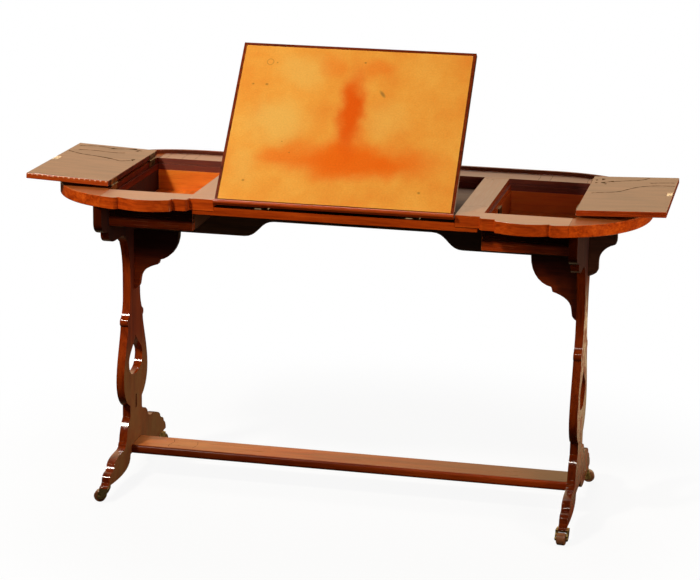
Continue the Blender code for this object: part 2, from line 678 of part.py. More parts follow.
def make_spine(wood):
    """The rail under the boxes and the well, arched in the middle, with shaped brackets at the trestles."""
    half = SPINE_THICK / 2
    end = TRESTLE_IN - GAP
    step_x = BOX_IN_X - GAP
    low_top = BOX_UNDER - GAP
    high = (OGEE_LOW_X - OGEE_WIDTH, SPINE_UNDER + ARCH_RISE)
    low = (OGEE_LOW_X, SPINE_UNDER)
    turn_x = OGEE_LOW_X - OGEE_WIDTH / 2
    right = [high] + bezier(high, (turn_x, high[1]), (turn_x, low[1]), low, 9)
    right += [(end, SPINE_UNDER), (end, low_top), (step_x, low_top), (step_x, FLOOR_UNDER - GAP)]
    prism("spine_rail", right + mirrored(right), "Y", -half, half, wood)
    for side in (-1, 1):
        name = side_name(side)
        inner = [(side * (end - across), SPINE_UNDER - GAP - drop) for across, drop in inner_bracket()]
        prism("inner_bracket_" + name, inner, "Y", -half, half, wood)
        start = TRESTLE_OUT + GAP
        outer = [(side * (start + across), UNDERSIDE - GAP - drop) for across, drop in outer_bracket()]
        prism("outer_bracket_" + name, outer, "Y", -half, half, wood)


def inner_bracket():
    """Distances from the trestle and down from the rail: a big round, a step, a hollow and a small ogee."""
    reach = BRACKET_REACH
    drop = BRACKET_DROP
    round_end = (reach * 0.56, drop * 0.48)
    points = [(0.0, 0.0), (reach, 0.0)]
    points += bezier((reach, 0.0), (reach, drop * 0.27), (reach * 0.80, drop * 0.45), round_end)
    hollow_start = (reach * 0.53, drop * 0.555)
    points += [hollow_start]
    hollow_end = (reach * 0.13, drop * 0.82)
    points += bezier(hollow_start, (reach * 0.32, drop * 0.60), (reach * 0.14, drop * 0.68), hollow_end)
    knee = (reach * 0.11, drop * 0.92)
    points += [knee]
    points += bezier(knee, (reach * 0.08, drop * 0.965), (reach * 0.04, drop * 0.98), (0.0, drop), 4)
    return points


def outer_bracket():
    """Distances out from the trestle and down from the top: a block with a hollow below and a small ogee."""
    reach = OUTER_REACH
    drop = OUTER_DROP
    corner = (reach, drop * 0.38)
    lip = (reach * 0.90, drop * 0.47)
    hollow = (reach * 0.37, drop * 0.75)
    knee = (reach * 0.37, drop * 0.885)
    points = [(0.0, 0.0), (reach, 0.0), corner]
    points += bezier(corner, (reach, drop * 0.44), (reach * 0.97, drop * 0.46), lip, 4)
    points += bezier(lip, (reach * 0.58, drop * 0.51), (reach * 0.38, drop * 0.62), hollow)
    points += [knee]
    points += bezier(knee, (reach * 0.33, drop * 0.95), (reach * 0.15, drop * 0.97), (0.0, drop), 4)
    return points


def half_outline(foot):
    """One half of the trestle, from the middle of its head round the foot to the middle of its arch."""
    top = UNDERSIDE - GAP
    return head_outline(top) + lyre_outline() + foot


def trestle_outline():
    """Both halves of the trestle, the back one with the fuller foot."""
    front = half_outline(foot_outline((HIP_HALF, HIP_Z), (INSTEP_HALF, INSTEP_Z), (KNEE_Y, KNEE_Z),
                                      (ANKLE_Y, ANKLE_Z), TOE_Y))
    back = half_outline(foot_outline((BACK_HIP_HALF, BACK_HIP_Z), (BACK_INSTEP_HALF, BACK_INSTEP_Z),
                                     (BACK_KNEE_Y, BACK_KNEE_Z), (BACK_ANKLE_Y, BACK_ANKLE_Z), BACK_TOE_Y,
                                     BACK_FULLNESS))
    return back + mirrored(front)[1:-1]


def head_outline(top):
    """The head, its two rounded shoulders and the neck."""
    edge = (HEAD_HALF, top - HEAD_EDGE)
    shoulder = (SHOULDER_HALF, top - SHOULDER_DROP)
    step = (SHOULDER_HALF, shoulder[1] - SHOULDER_STEP)
    under_z = top - SHOULDER_UNDER_DROP
    under = ((SHOULDER_HALF + SHOULDER_IN) / 2, under_z)
    inner = (SHOULDER_IN, under_z)
    neck = (NECK_HALF, top - NECK_TOP_DROP)
    points = [(0.0, top), (HEAD_HALF, top), edge]
    round_z = (edge[1] + step[1]) / 2
    points += bezier(edge, (HEAD_HALF, round_z), (SHOULDER_HALF + CURL, shoulder[1]), shoulder)
    points += [step]
    points += bezier(step, (SHOULDER_HALF, under_z + SHOULDER_STEP), (under[0] + CURL, under_z), under)
    points += [inner]
    points += bezier(inner, ((SHOULDER_IN + NECK_HALF) / 2, under_z), (NECK_HALF, under_z - CURL * 2), neck)
    return points


def lyre_outline():
    """The flared foot of the neck, a bead, and the lyre down to its waist."""
    neck = (NECK_HALF, NECK_FOOT)
    collar = (COLLAR_HALF, BEAD_TOP)
    bead = (COLLAR_HALF + SHELF, BEAD_TOP - SHELF_DROP)
    bead_out = bead[0] + BEAD_OUT
    bead_end = (bead[0], BEAD_TOP - BEAD_HEIGHT)
    wide = (LYRE_HALF, LYRE_WIDE_Z)
    foot = (WAIST_HALF, LYRE_FOOT_Z)
    points = [neck]
    flare_z = NECK_FOOT - COLLAR_DROP / 2
    points += bezier(neck, (NECK_HALF, flare_z), (COLLAR_HALF - SHELF, BEAD_TOP + CURL / 2), collar, 5)
    points += [bead]
    points += bezier(bead, (bead_out, bead[1]), (bead_out, bead_end[1]), bead_end, 6)
    points += bezier(bead_end, (bead_end[0], bead_end[1] - CURL), (LYRE_HALF, wide[1] + CURL * 2), wide, 9)
    foot_in = (WAIST_HALF + CURL, LYRE_FOOT_Z + CURL * 0.4)
    points += bezier(wide, (LYRE_HALF, wide[1] - CURL * 1.5), foot_in, foot, 10)
    points += [(WAIST_HALF, WAIST_Z - WAIST_HEIGHT)]
    return points


def foot_outline(hip, instep, knee, ankle, toe_y, fullness=1.0):
    """The hip, the scalloped instep with a small shelf at each crease, the toe and the sole."""
    waist = (WAIST_HALF + SHELF, WAIST_Z - WAIST_HEIGHT - SHELF_DROP)
    run = hip[0] - waist[0]
    drop = waist[1] - hip[1]
    shelf = (hip[0] + SHELF, hip[1] - SHELF_DROP)
    seat = (TOE_Y - TOE_SEAT, TOE_UNDER)
    arch_start = (WAIST_HALF, ARCH_Z)
    sole = ((seat[0] + arch_start[0]) / 2, TOE_UNDER - CURL / 5)
    hip_start = (waist[0] + run * 0.45, waist[1] - drop * 0.25)
    hip_end = (waist[0] + run * 0.85, waist[1] - drop * 0.60)
    points = [waist]
    points += bezier(waist, hip_start, hip_end, hip)
    points += [shelf]
    points += bezier(shelf, (shelf[0], shelf[1] - SHELF), (instep[0] - SHELF * 2, instep[1]), instep, 4)
    points += scallop(instep, knee, fullness)[1:]
    points += scallop((knee[0] + SHELF, knee[1] - SHELF_DROP), ankle, fullness)
    points += scallop((ankle[0] + SHELF, ankle[1] - SHELF_DROP), (toe_y, TOE_UNDER), fullness)
    points += [seat]
    points += bezier(seat, (seat[0] - CURL, TOE_UNDER - CURL / 10), (sole[0] + CURL, sole[1]), sole)
    points += bezier(sole, (sole[0] - CURL, sole[1]), (arch_start[0], sole[1]), arch_start)
    points += [(0.0, ARCH_Z)]
    return points


def scallop(start, end, fullness):
    """A raised curve from one crease of the foot to the next, its start included."""
    run = end[0] - start[0]
    full_z = end[1] + (start[1] - end[1]) * fullness
    return [start] + bezier(start, (start[0] + run * 0.35, start[1]), (end[0], full_z), end, 6)


def lyre_hole():
    """The drop-shaped opening: a point at the top, full below."""
    wide = LYRE_HOLE_FOOT + LYRE_HOLE_HALF * 0.75
    right = [(0.0, LYRE_HOLE_TOP)]
    right += bezier(right[0], (LYRE_HOLE_HALF * 0.30, LYRE_HOLE_TOP - CURL),
                    (LYRE_HOLE_HALF, wide + CURL * 0.8), (LYRE_HOLE_HALF, wide), 8)
    right += bezier(right[-1], (LYRE_HOLE_HALF, LYRE_HOLE_FOOT + LYRE_HOLE_HALF * 0.2),
                    (LYRE_HOLE_HALF * 0.6, LYRE_HOLE_FOOT), (0.0, LYRE_HOLE_FOOT), 8)
    return right + mirrored(right)[1:-1]


def make_trestles(wood):
    outline = trestle_outline()
    for side in (-1, 1):
        name = side_name(side)
        low = side * TRESTLE_X - TRESTLE_THICK / 2
        high = low + TRESTLE_THICK
        made = prism("trestle_" + name, outline, "X", low, high, wood)
        join(made, prism("lyre_hole_" + name, lyre_hole(), "X", low - MORE, high + MORE, wood), "DIFFERENCE")
        slot_foot = WAIST_Z + SLOT_RISE
        slot = [(-SLOT_HALF, slot_foot), (SLOT_HALF, slot_foot)]
        slot += arc((0.0, slot_foot + SLOT_LENGTH - SLOT_HALF), SLOT_HALF, 0, 180, 8)
        join(made, prism("slot_" + name, slot, "X", low - MORE, high + MORE, wood), "DIFFERENCE")


def make_stretcher(wood):
    """A flat board with rounded edges between the trestles."""
    across = STRETCHER_HALF - STRETCHER_ROUND
    low = ARCH_Z + GAP
    corners = ((across, low + STRETCHER_ROUND, -90), (across, low + STRETCHER_THICK - STRETCHER_ROUND, 0),
               (-across, low + STRETCHER_THICK - STRETCHER_ROUND, 90), (-across, low + STRETCHER_ROUND, 180))
    outline = []
    for y, z, turn in corners:
        outline += arc((y, z), STRETCHER_ROUND, turn, turn + 90, 4)
    prism("stretcher", outline, "X", -TRESTLE_IN + GAP, TRESTLE_IN - GAP, wood)


def horn_outline():
    """Side view of a caster's horn: a crown under the toe, sweeping out and down to the axle."""
    crown = TOE_UNDER - GAP
    axle = (CASTER_TRAIL, WHEEL_RADIUS)
    eye = AXLE_RADIUS * 2
    points = [(-HORN_HALF, crown), (-HORN_HALF, WHEEL_SPACE)]
    points += bezier(points[-1], (-HORN_HALF / 2, WHEEL_RADIUS), (0.0, WHEEL_RADIUS - eye),
                     (axle[0], axle[1] - eye))
    points += arc(axle, eye, -90, 60, 6)[1:]
    points += bezier(points[-1], (axle[0] + eye, WHEEL_RADIUS * 1.6), (HORN_HALF, WHEEL_SPACE - eye / 2),
                     (HORN_HALF, WHEEL_SPACE), 4)
    points += [(HORN_HALF, crown)]
    return points


def make_casters(brass, roller):
    """Four casters: a horn that swivels under each toe and a wheel on its axle."""
    inside = WHEEL_WIDTH / 2 + WHEEL_SIDE_CLEAR
    outside = inside + CHEEK_THICK
    for name, (side, end, heading) in CASTERS.items():
        place = (side * TRESTLE_X, end * CASTER_Y, 0.0)
        swivel = axis_empty("swivel_" + name, place, (0.0, 0.0, math.radians(heading)))
        horn = prism("caster_horn_" + name, horn_outline(), "Y", -outside, outside, brass, swivel)
        fork = box("fork_" + name, (-FAR, -inside, -MORE), (FAR, inside, WHEEL_SPACE), brass, swivel)
        join(horn, fork, "DIFFERENCE")
        axle = round_bar("axle_" + name, (CASTER_TRAIL, WHEEL_RADIUS), "Y", -outside + GAP, outside - GAP,
                         AXLE_RADIUS, brass, swivel, 16)
        join(horn, axle, "UNION")
        spin = axis_empty("spin_" + name, (CASTER_TRAIL, 0.0, WHEEL_RADIUS), (0.0, 0.0, 0.0), swivel)
        make_wheel("caster_wheel_" + name, roller, spin)


def make_wheel(name, roller, spin):
    """A crowned roller turned about its axle, bored for it."""
    half = WHEEL_WIDTH / 2
    bore = AXLE_RADIUS + GAP
    edge = WHEEL_RADIUS - WHEEL_CROWN
    tread = half - WHEEL_CROWN
    profile = [(bore, -half), (edge, -half), (WHEEL_RADIUS, -tread),
               (WHEEL_RADIUS, tread), (edge, half), (bore, half)]
    shape = bmesh.new()
    ring = [shape.verts.new((radius, y, 0.0)) for radius, y in profile]
    edges = [shape.edges.new((first, second)) for first, second in zip(ring, ring[1:] + ring[:1])]
    bmesh.ops.spin(shape, geom=ring + edges, axis=(0.0, 1.0, 0.0), cent=(0.0, 0.0, 0.0), angle=2 * math.pi,
                   steps=28, use_merge=True)
    bmesh.ops.remove_doubles(shape, verts=shape.verts, dist=GAP / 10)
    add(name, shape, roller, spin)


def main():
    clear_scene()
    mahogany = finish("polished_mahogany", (0.33, 0.10, 0.03), 0.22)
    dark = finish("dark_mahogany", (0.14, 0.04, 0.02), 0.30)
    lining = finish("compartment_lining", (0.24, 0.07, 0.03), 0.40)
    leather = finish("tan_leather", (0.72, 0.33, 0.07), 0.45)
    brass = finish("aged_brass", (0.55, 0.40, 0.16), 0.35, 1.0)
    roller = finish("dark_roller", (0.07, 0.035, 0.025), 0.35)
    make_top(mahogany)
    make_front_rail(mahogany)
    make_gallery(dark)
    make_boxes(mahogany, lining, brass)
    make_lids(mahogany, brass)
    make_flap(mahogany, leather, brass)
    make_well(lining, lining)
    make_spine(dark)
    make_trestles(mahogany)
    make_stretcher(mahogany)
    make_casters(brass, roller)


main()
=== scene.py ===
"""Looks for the reading table: materials, small hardware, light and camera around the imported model."""

import json
import math

import bmesh
import bpy
from mathutils import Matrix, Vector

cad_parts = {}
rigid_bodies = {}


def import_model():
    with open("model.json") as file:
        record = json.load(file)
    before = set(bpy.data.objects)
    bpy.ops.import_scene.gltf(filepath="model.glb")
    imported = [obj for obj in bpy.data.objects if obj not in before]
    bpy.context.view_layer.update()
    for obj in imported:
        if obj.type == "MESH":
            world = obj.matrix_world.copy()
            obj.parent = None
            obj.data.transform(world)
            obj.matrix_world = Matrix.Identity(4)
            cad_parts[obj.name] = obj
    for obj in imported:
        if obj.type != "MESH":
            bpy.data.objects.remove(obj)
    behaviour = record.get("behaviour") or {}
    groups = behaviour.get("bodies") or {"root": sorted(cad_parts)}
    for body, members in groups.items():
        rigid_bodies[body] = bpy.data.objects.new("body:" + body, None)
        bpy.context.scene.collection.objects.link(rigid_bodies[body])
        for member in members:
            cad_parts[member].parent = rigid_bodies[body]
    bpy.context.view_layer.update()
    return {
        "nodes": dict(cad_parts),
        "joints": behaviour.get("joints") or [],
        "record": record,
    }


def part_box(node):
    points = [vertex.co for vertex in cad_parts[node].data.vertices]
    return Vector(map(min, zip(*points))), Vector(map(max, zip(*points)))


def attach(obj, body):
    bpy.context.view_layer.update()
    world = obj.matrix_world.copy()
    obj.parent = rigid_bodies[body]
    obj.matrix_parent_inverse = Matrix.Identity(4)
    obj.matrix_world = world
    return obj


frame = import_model()
nodes = frame["nodes"]
hinges = {joint["child"]: Vector(joint["pos_m"]) for joint in frame["joints"]}

# Camera, fitted to the photograph: picture width and focal length in pixels, sensor width in millimetres
PICTURE_WIDTH = 700
FOCAL = 2244.15
SENSOR_WIDTH = 36.0
CAMERA_AT = Vector((1.0389, -4.9132, 1.8064))
YAW = math.radians(11.9973)
PITCH = math.radians(14.6737)
ROLL = math.radians(0.979)

# Places on the table, as the CAD has them, in metres, and the signs of its sides along x
TOP_HEIGHT = 0.735
FLAP_AXIS = hinges["flap"]
FLAP_ANGLE = math.radians(50.5)
SIDES = {"left": -1, "right": 1}

# Lids at rest: pin, height of the inside face over it, and how far short of flat they open
LID_PIN_X = hinges["lid_right"].x
LID_PIN_Z = hinges["lid_right"].z
LID_FACE = 0.0155
LID_TILT = math.radians(2.25)
LID_FACE_Z = LID_PIN_Z + LID_FACE - LID_PIN_X * math.tan(LID_TILT)

# Colours of the woods, dark to light
MAHOGANY = ((0.15, 0.012, 0.001), (0.40, 0.044, 0.003), (0.60, 0.090, 0.007))
# Mahogany painted brighter, as if lit more from the front: painted light on the top's sides, also used for
# the prop
EDGE = ((0.22, 0.019, 0.001), (0.58, 0.068, 0.004), (0.82, 0.138, 0.010))
LINING = ((0.46, 0.070, 0.002), (0.88, 0.200, 0.008), (0.98, 0.310, 0.022))
TRESTLE = ((0.11, 0.009, 0.001), (0.29, 0.031, 0.002), (0.44, 0.062, 0.005))
UMBER = ((0.045, 0.017, 0.005), (0.10, 0.036, 0.010), (0.16, 0.058, 0.016))
# Near black for the outer brackets: painted shade under the top's round ends
OUTER_BRACKET_SHADE = ((0.018, 0.005, 0.002), (0.045, 0.012, 0.004), (0.075, 0.022, 0.007))
SHADOWED = ((0.045, 0.007, 0.002), (0.11, 0.017, 0.003), (0.17, 0.030, 0.006))
WALNUT = ((0.14, 0.048, 0.018), (0.20, 0.070, 0.027), (0.25, 0.092, 0.038))
ROSEWOOD = ((0.06, 0.022, 0.008), (0.24, 0.085, 0.032), (0.50, 0.21, 0.085))

# Colours of wear and fading on the wood, and colours painted on as sheen, highlights, light and shade
# Paler orange on rubbed arrises: wear, and painted highlights along the edges
WORN_GLINT = (0.66, 0.20, 0.05)
# Faded tan painted on the top's flat faces and the lids' show faces: fading, and partly painted sheen
FADED_SHEEN = (0.28, 0.120, 0.045)
# Pale tan painted on the back rail's flat face: painted sheen
BACK_RAIL_SHEEN = (0.36, 0.19, 0.085)
# Pale tan on the stretcher's top, paler to the left: rubbed, and painted sheen and light
RUBBED_SHEEN = (0.58, 0.23, 0.06)
AMBER = (0.30, 0.088, 0.020)
# Golden olive painted low on the trestles' inner faces: painted light
INNER_FACE_LIGHT = (0.40, 0.20, 0.06)
# Deep red painted over the right compartment's lining: painted shade
RIGHT_LINING_SHADE_TONE = (0.42, 0.045, 0.003)
# Darker tone on the stretcher's top towards the right
STRETCHER_RIGHT_TONE = (0.13, 0.066, 0.018)
# Near white on the left lid's front arris: chip marks and painted highlights
CHIP_GLINT = (0.85, 0.50, 0.26)
# Near black painted in and around the slot under the flap's nose: painted shade
SLOT_SHADE = (0.010, 0.004, 0.002)

# Colours of the brass, dark and bright, and of the lids' figure and the cracks
AGED_BRASS = ((0.16, 0.10, 0.03), (0.62, 0.44, 0.17))
DULL_BRASS = ((0.035, 0.022, 0.010), (0.20, 0.12, 0.05))
RUBBED_BRASS = ((0.42, 0.33, 0.22), (0.82, 0.70, 0.52))
FIGURE_TONES = ((0.05, 0.028, 0.012), (0.14, 0.075, 0.034))
CRACK_TONES = ((0.02, 0.008, 0.004), (0.06, 0.025, 0.012))

# Colours of the leather
LEATHER = ((0.80, 0.26, 0.028), (0.83, 0.33, 0.042), (0.86, 0.39, 0.060))
LEATHER_PALE = (0.82, 0.46, 0.095)
LEATHER_STAIN = (0.82, 0.130, 0.001)
LEATHER_STEM = (0.76, 0.100, 0.001)
MARK_TONE = (0.16, 0.055, 0.008)
SCUFF_TONE = (0.34, 0.16, 0.03)
RING_TONE = (0.30, 0.12, 0.02)

# How much faster the figure changes across the grain than along it, and which way boards differ in it
STRETCH = {"X": (1.0, 16.0, 16.0), "Y": (16.0, 1.0, 16.0), "Z": (16.0, 16.0, 1.0)}
PORE_STRETCH = (6.0, 6.0, 6.0)
SHIFT_WAY = Vector((1.0, 1.7, 0.6))
COAT_ROUGHNESS = 0.08

# Heights over which the wood's tone or polish changes, in metres, and the shares of tone that are left.
# Ledges, box fronts, brackets and trestle heads darken as painted shade; the trestles' inner faces lighten
# low down as painted light.
LEDGE_SHADE_HEIGHTS = (TOP_HEIGHT - 0.007, TOP_HEIGHT - 0.003)
FLAP_FOOT_HEIGHTS = (0.70, 0.74)
BOX_FRONT_SHADOW_HEIGHTS = (0.667, 0.677)
BRACKET_SHADE_HEIGHTS = {"left": (0.50, 0.57), "right": (0.52, 0.63)}
BRACKET_SHADE_SHARES = {"left": 0.07, "right": 0.12}
HEAD_SHADE_HEIGHTS = (0.40, 0.64)
HEAD_EDGE_SHADE_HEIGHTS = (0.58, 0.66)
HEAD_SHADE_SHARE = 0.15
DULL_HEIGHTS = (0.45, 0.58)
POLISH_HEIGHTS = (0.50, 0.58)
INNER_LIGHT_HEIGHTS = (0.26, 0.36)
FOOT_HEIGHTS = (0.16, 0.34)

# Places along x and y over which it changes: painted shade in the right lining, on the right trestle's edges
# and on the well floor, painted sheen on the stretcher's left, and a darker stretcher top towards the right
RIGHT_LINING_SHADE = (0.0, 0.1)
RIGHT_TRESTLE_SHADE = (-0.1, 0.1)
STRETCHER_RUBBED_SHEEN = (-0.5, 0.5)
STRETCHER_RIGHT_SPAN = (-0.1, 0.5)
STRETCHER_EDGE = (-0.3, 0.5)
OPENING_BACK = (0.10, 0.15)
WELL_SHADE = (-0.06, 0.12)

# Distances from the middle over which it changes, negative for faces that look towards the middle
OPENING_FACES = (-0.45, -0.40)
WELL_FACES = (-0.30, -0.25)
INNER_FACES = (-0.50, -0.45)
OUTER_FACES = (0.45, 0.50)

# Pale chip marks along the left lid's front arris, also standing in for painted highlights: their spacing,
# and the depths below its face that they reach
CHIP_GLINT_SPACING = 0.0125
CHIP_GLINT_LOW = 0.0050
CHIP_GLINT_HIGH = 0.0015

# Leather, in the flap's own directions: (across, up) places, (half width, half height) and strength
STEM = ((0.005, 0.245), (0.042, 0.155), 1.0)
BAND = ((0.025, 0.122), (0.255, 0.066), 0.94)
SMEARS = (((0.052, 0.350), (0.055, 0.040), 0.45), ((-0.045, 0.360), (0.045, 0.045), 0.35),
          ((0.010, 0.165), (0.060, 0.060), 0.55), ((-0.150, 0.128), (0.060, 0.035), 0.40),
          ((0.105, 0.105), (0.060, 0.040), 0.40), ((-0.035, 0.085), (0.060, 0.040), 0.35))
PALE = (((-0.160, 0.215), (0.110, 0.080), 0.75), ((-0.120, 0.345), (0.080, 0.060), 0.55),
        ((0.085, 0.230), (0.070, 0.070), 0.40), ((-0.220, 0.100), (0.050, 0.070), 0.35))
SCUFF = ((0.0704, 0.2962), (0.0055, 0.0150), 0.85)
SCUFF_TURN = math.radians(-38)
# Small marks as (across, up) and radius, and a ring's middle, radius and the reach of its line
MARKS = (((-0.1985, 0.3067), 0.0055), ((-0.230, 0.306), 0.0040), ((-0.1398, 0.1622), 0.0026),
         ((-0.1189, 0.1356), 0.0026), ((-0.2118, 0.0596), 0.0050), ((0.1856, 0.0540), 0.0050),
         ((-0.183, 0.364), 0.0030), ((0.020, 0.375), 0.0040))
MARK_HEIGHT = 0.8
RING = (-0.1994, 0.3655)
RING_RADIUS = 0.0075
RING_LINE = (0.0004, 0.0014)
# How far the edges of stains and patches wander
WAVER = (0.06, 0.06, 0.0)

# The lids' dark figure: lines as (out from the pin, depth), and knots with their half sizes
LID_LINES = {
    "left": (((0.191, 0.096), (0.160, 0.077), (0.134, 0.069), (0.100, 0.062), (0.082, 0.057),
              (0.060, 0.046), (0.044, 0.038), (0.030, 0.047), (0.017, 0.053)),
             ((0.187, 0.163), (0.160, 0.171), (0.130, 0.174), (0.100, 0.163), (0.075, 0.172),
              (0.052, 0.176), (0.030, 0.166)),
             ((0.175, 0.118), (0.130, 0.124), (0.085, 0.120), (0.060, 0.128))),
    "right": (((0.015, 0.003), (0.030, 0.010), (0.060, 0.017), (0.078, 0.030), (0.095, 0.055),
               (0.115, 0.080), (0.140, 0.094), (0.170, 0.098), (0.195, 0.094)),
              ((0.024, 0.118), (0.045, 0.135), (0.062, 0.140), (0.090, 0.150), (0.112, 0.158),
               (0.130, 0.182)),
              ((0.135, 0.124), (0.165, 0.131), (0.192, 0.133)))}
LID_KNOTS = {
    "left": (((0.090, 0.059), (0.006, 0.004)), ((0.077, 0.053), (0.005, 0.004)),
             ((0.020, 0.062), (0.004, 0.008)), ((0.100, 0.165), (0.007, 0.005)),
             ((0.053, 0.177), (0.009, 0.006)), ((0.040, 0.160), (0.004, 0.004))),
    "right": (((0.030, 0.122), (0.005, 0.007)), ((0.048, 0.136), (0.006, 0.005)),
              ((0.026, 0.160), (0.004, 0.009)), ((0.012, 0.150), (0.003, 0.006)),
              ((0.014, 0.120), (0.003, 0.005)), ((0.036, 0.108), (0.003, 0.004)))}
FIGURE_WIDTH = 0.0058
KNOT_POINTS = 10
KNOT_PHASE = 1000.0

# Hairline cracks in the top and the stretcher, as paths of (x, y)
CRACKS = (((-0.507, 0.197), (-0.506, 0.230), (-0.508, 0.261)),
          ((-0.467, 0.197), (-0.468, 0.228), (-0.466, 0.261)),
          ((-0.4365, 0.197), (-0.436, 0.232), (-0.437, 0.261)),
          ((0.397, 0.197), (0.398, 0.230), (0.396, 0.261)),
          ((0.424, 0.197), (0.425, 0.229), (0.424, 0.261)),
          ((0.512, 0.197), (0.511, 0.230), (0.513, 0.261)),
          ((0.276, 0.186), (0.284, 0.178), (0.292, 0.176), (0.298, 0.168)),
          ((0.272, -0.126), (0.285, -0.128), (0.296, -0.124)),
          ((0.305, -0.116), (0.314, -0.115), (0.326, -0.117)))
STRETCHER_CRACKS = (((-0.436, 0.026), (-0.431, 0.004), (-0.437, -0.020), (-0.433, -0.032)),
                    ((-0.376, 0.018), (-0.371, -0.004), (-0.377, -0.030)),
                    ((-0.35, 0.012), (-0.30, 0.014), (-0.24, 0.010), (-0.19, 0.012)))
CRACK_WIDTH = 0.0011
CRACK_STEPS = 4
# Lines lie this far above the wood. Their width swells by a share and narrows to another at the tips.
LINE_RISE = 0.00008
LINE_SWELL = 0.35
LINE_TIP = 0.25

# Screws: the profile of a head as shares of (radius, height), points along an arc, the slot floor's height
SCREW_PROFILE = ((1.0, 0.0), (1.0, 0.55), (0.82, 0.9), (0.5, 1.0))
SCREW_STEPS = 10
SLOT_FLOOR_POINTS = 16
SLOT_FLOOR_HEIGHT = 0.2
# Where screws and axle ends sit on the strikes, locks, hinge leaves and casters
STRIKE_HALF_THICK = 0.0005
STRIKE_SCREW_OUT = 0.0125
LOCK_SCREW_OUT = 0.016
LOCK_SCREW_RISE = 0.0085
LEAF_FACE_X = LID_PIN_X + 0.0002
LEAF_SCREW_STEP = 0.016
LEAF_SCREW_DROP = 0.0085
CHEEK_OUT = 0.0143

# Softened arrises: the top's outline is rounder than the rest, and its joints and openings hardly at all
TOP_ARRIS = {"width": 0.006, "segments": 4, "outline": True}
TOP_END_X = 0.56
TOP_FRONT_Y = -0.205
TOP_BACK_Y = 0.25
LEVEL_EDGE_RISE = 0.001
JOINT_EDGE_RUN = 0.0005
JOINT_WEIGHT = 0.06
SHARP_ANGLE = math.radians(32)
FLAT_ANGLE = math.radians(0.5)
WELD_REACH = 0.00002
FAR = 1000.0

# Light: tints, strengths, and lamps with place, target, size, watts, tint and whether polish mirrors them
WHITE = (1.0, 1.0, 1.0)
WARM = (1.0, 0.95, 0.88)
KEY_TINT = (1.0, 0.95, 0.86)
SIDE_TINT = (1.0, 0.92, 0.80)
BACKDROP_TINT = (1.0, 0.71, 0.41)
AMBIENT = 0.08
BACKDROP_GLARE = 1.3
LAMPS = {"key": ((-1.45, -1.75, 2.55), (0.0, 0.0, 0.7), (0.3, 0.3), 66.0, KEY_TINT, True),
         "fill": ((1.9, -2.6, 1.9), (0.0, 0.0, 0.5), (1.0, 1.0), 4.0, WARM, True),
         "spark": ((0.25, -1.75, 2.55), (0.3, 0.0, 0.5), (0.1, 0.1), 4.0, KEY_TINT, True),
         "side": ((1.7, -0.7, 0.90), (0.3, 0.0, 0.5), (0.5, 0.5), 10.0, SIDE_TINT, True),
         "rear": ((-1.5, 2.4, 0.36), (0.0, 0.0, 0.7), (1.2, 0.5), 26.0, WARM, False),
         "back": ((-0.6, 2.0, 3.2), (0.0, 0.0, 0.5), (1.4, 1.4), 40.0, WARM, True)}

# Floor: size, how far it lies below the casters, tints, and where it turns white for the camera
FLOOR_RADIUS = 3.0
FLOOR_SEGMENTS = 64
FLOOR_DROP = 0.0005
FLOOR_WHITE = (0.9, 0.9, 0.9)
FLOOR_BOUNCE = (1.0, 0.93, 0.82)
FLOOR_MIRRORED = (1.0, 0.73, 0.39)
SHADOW_REACH = (0.6, 1.25)
SHADOW_WHITENESS = 0.90
# Strength of the mirrored floor under the table, and of its bright patch behind the right trestle
MIRRORED_NEAR = 0.15
MIRRORED_RIGHT = 1.1


def make_camera():
    """A camera without shift, from its place and three angles."""
    forward = Vector((-math.sin(YAW) * math.cos(PITCH), math.cos(YAW) * math.cos(PITCH), -math.sin(PITCH)))
    level = Vector((math.cos(YAW), math.sin(YAW), 0.0))
    upright = level.cross(forward)
    right = math.cos(ROLL) * level + math.sin(ROLL) * upright
    up = -math.sin(ROLL) * level + math.cos(ROLL) * upright
    data = bpy.data.cameras.new("camera")
    data.sensor_width = SENSOR_WIDTH
    data.lens = FOCAL * data.sensor_width / PICTURE_WIDTH
    made = bpy.data.objects.new("camera", data)
    made.matrix_world = Matrix.Translation(CAMERA_AT) @ Matrix((right, up, -forward)).transposed().to_4x4()
    bpy.context.scene.collection.objects.link(made)
    bpy.context.scene.camera = made


def colour(value):
    return (*value, 1.0)


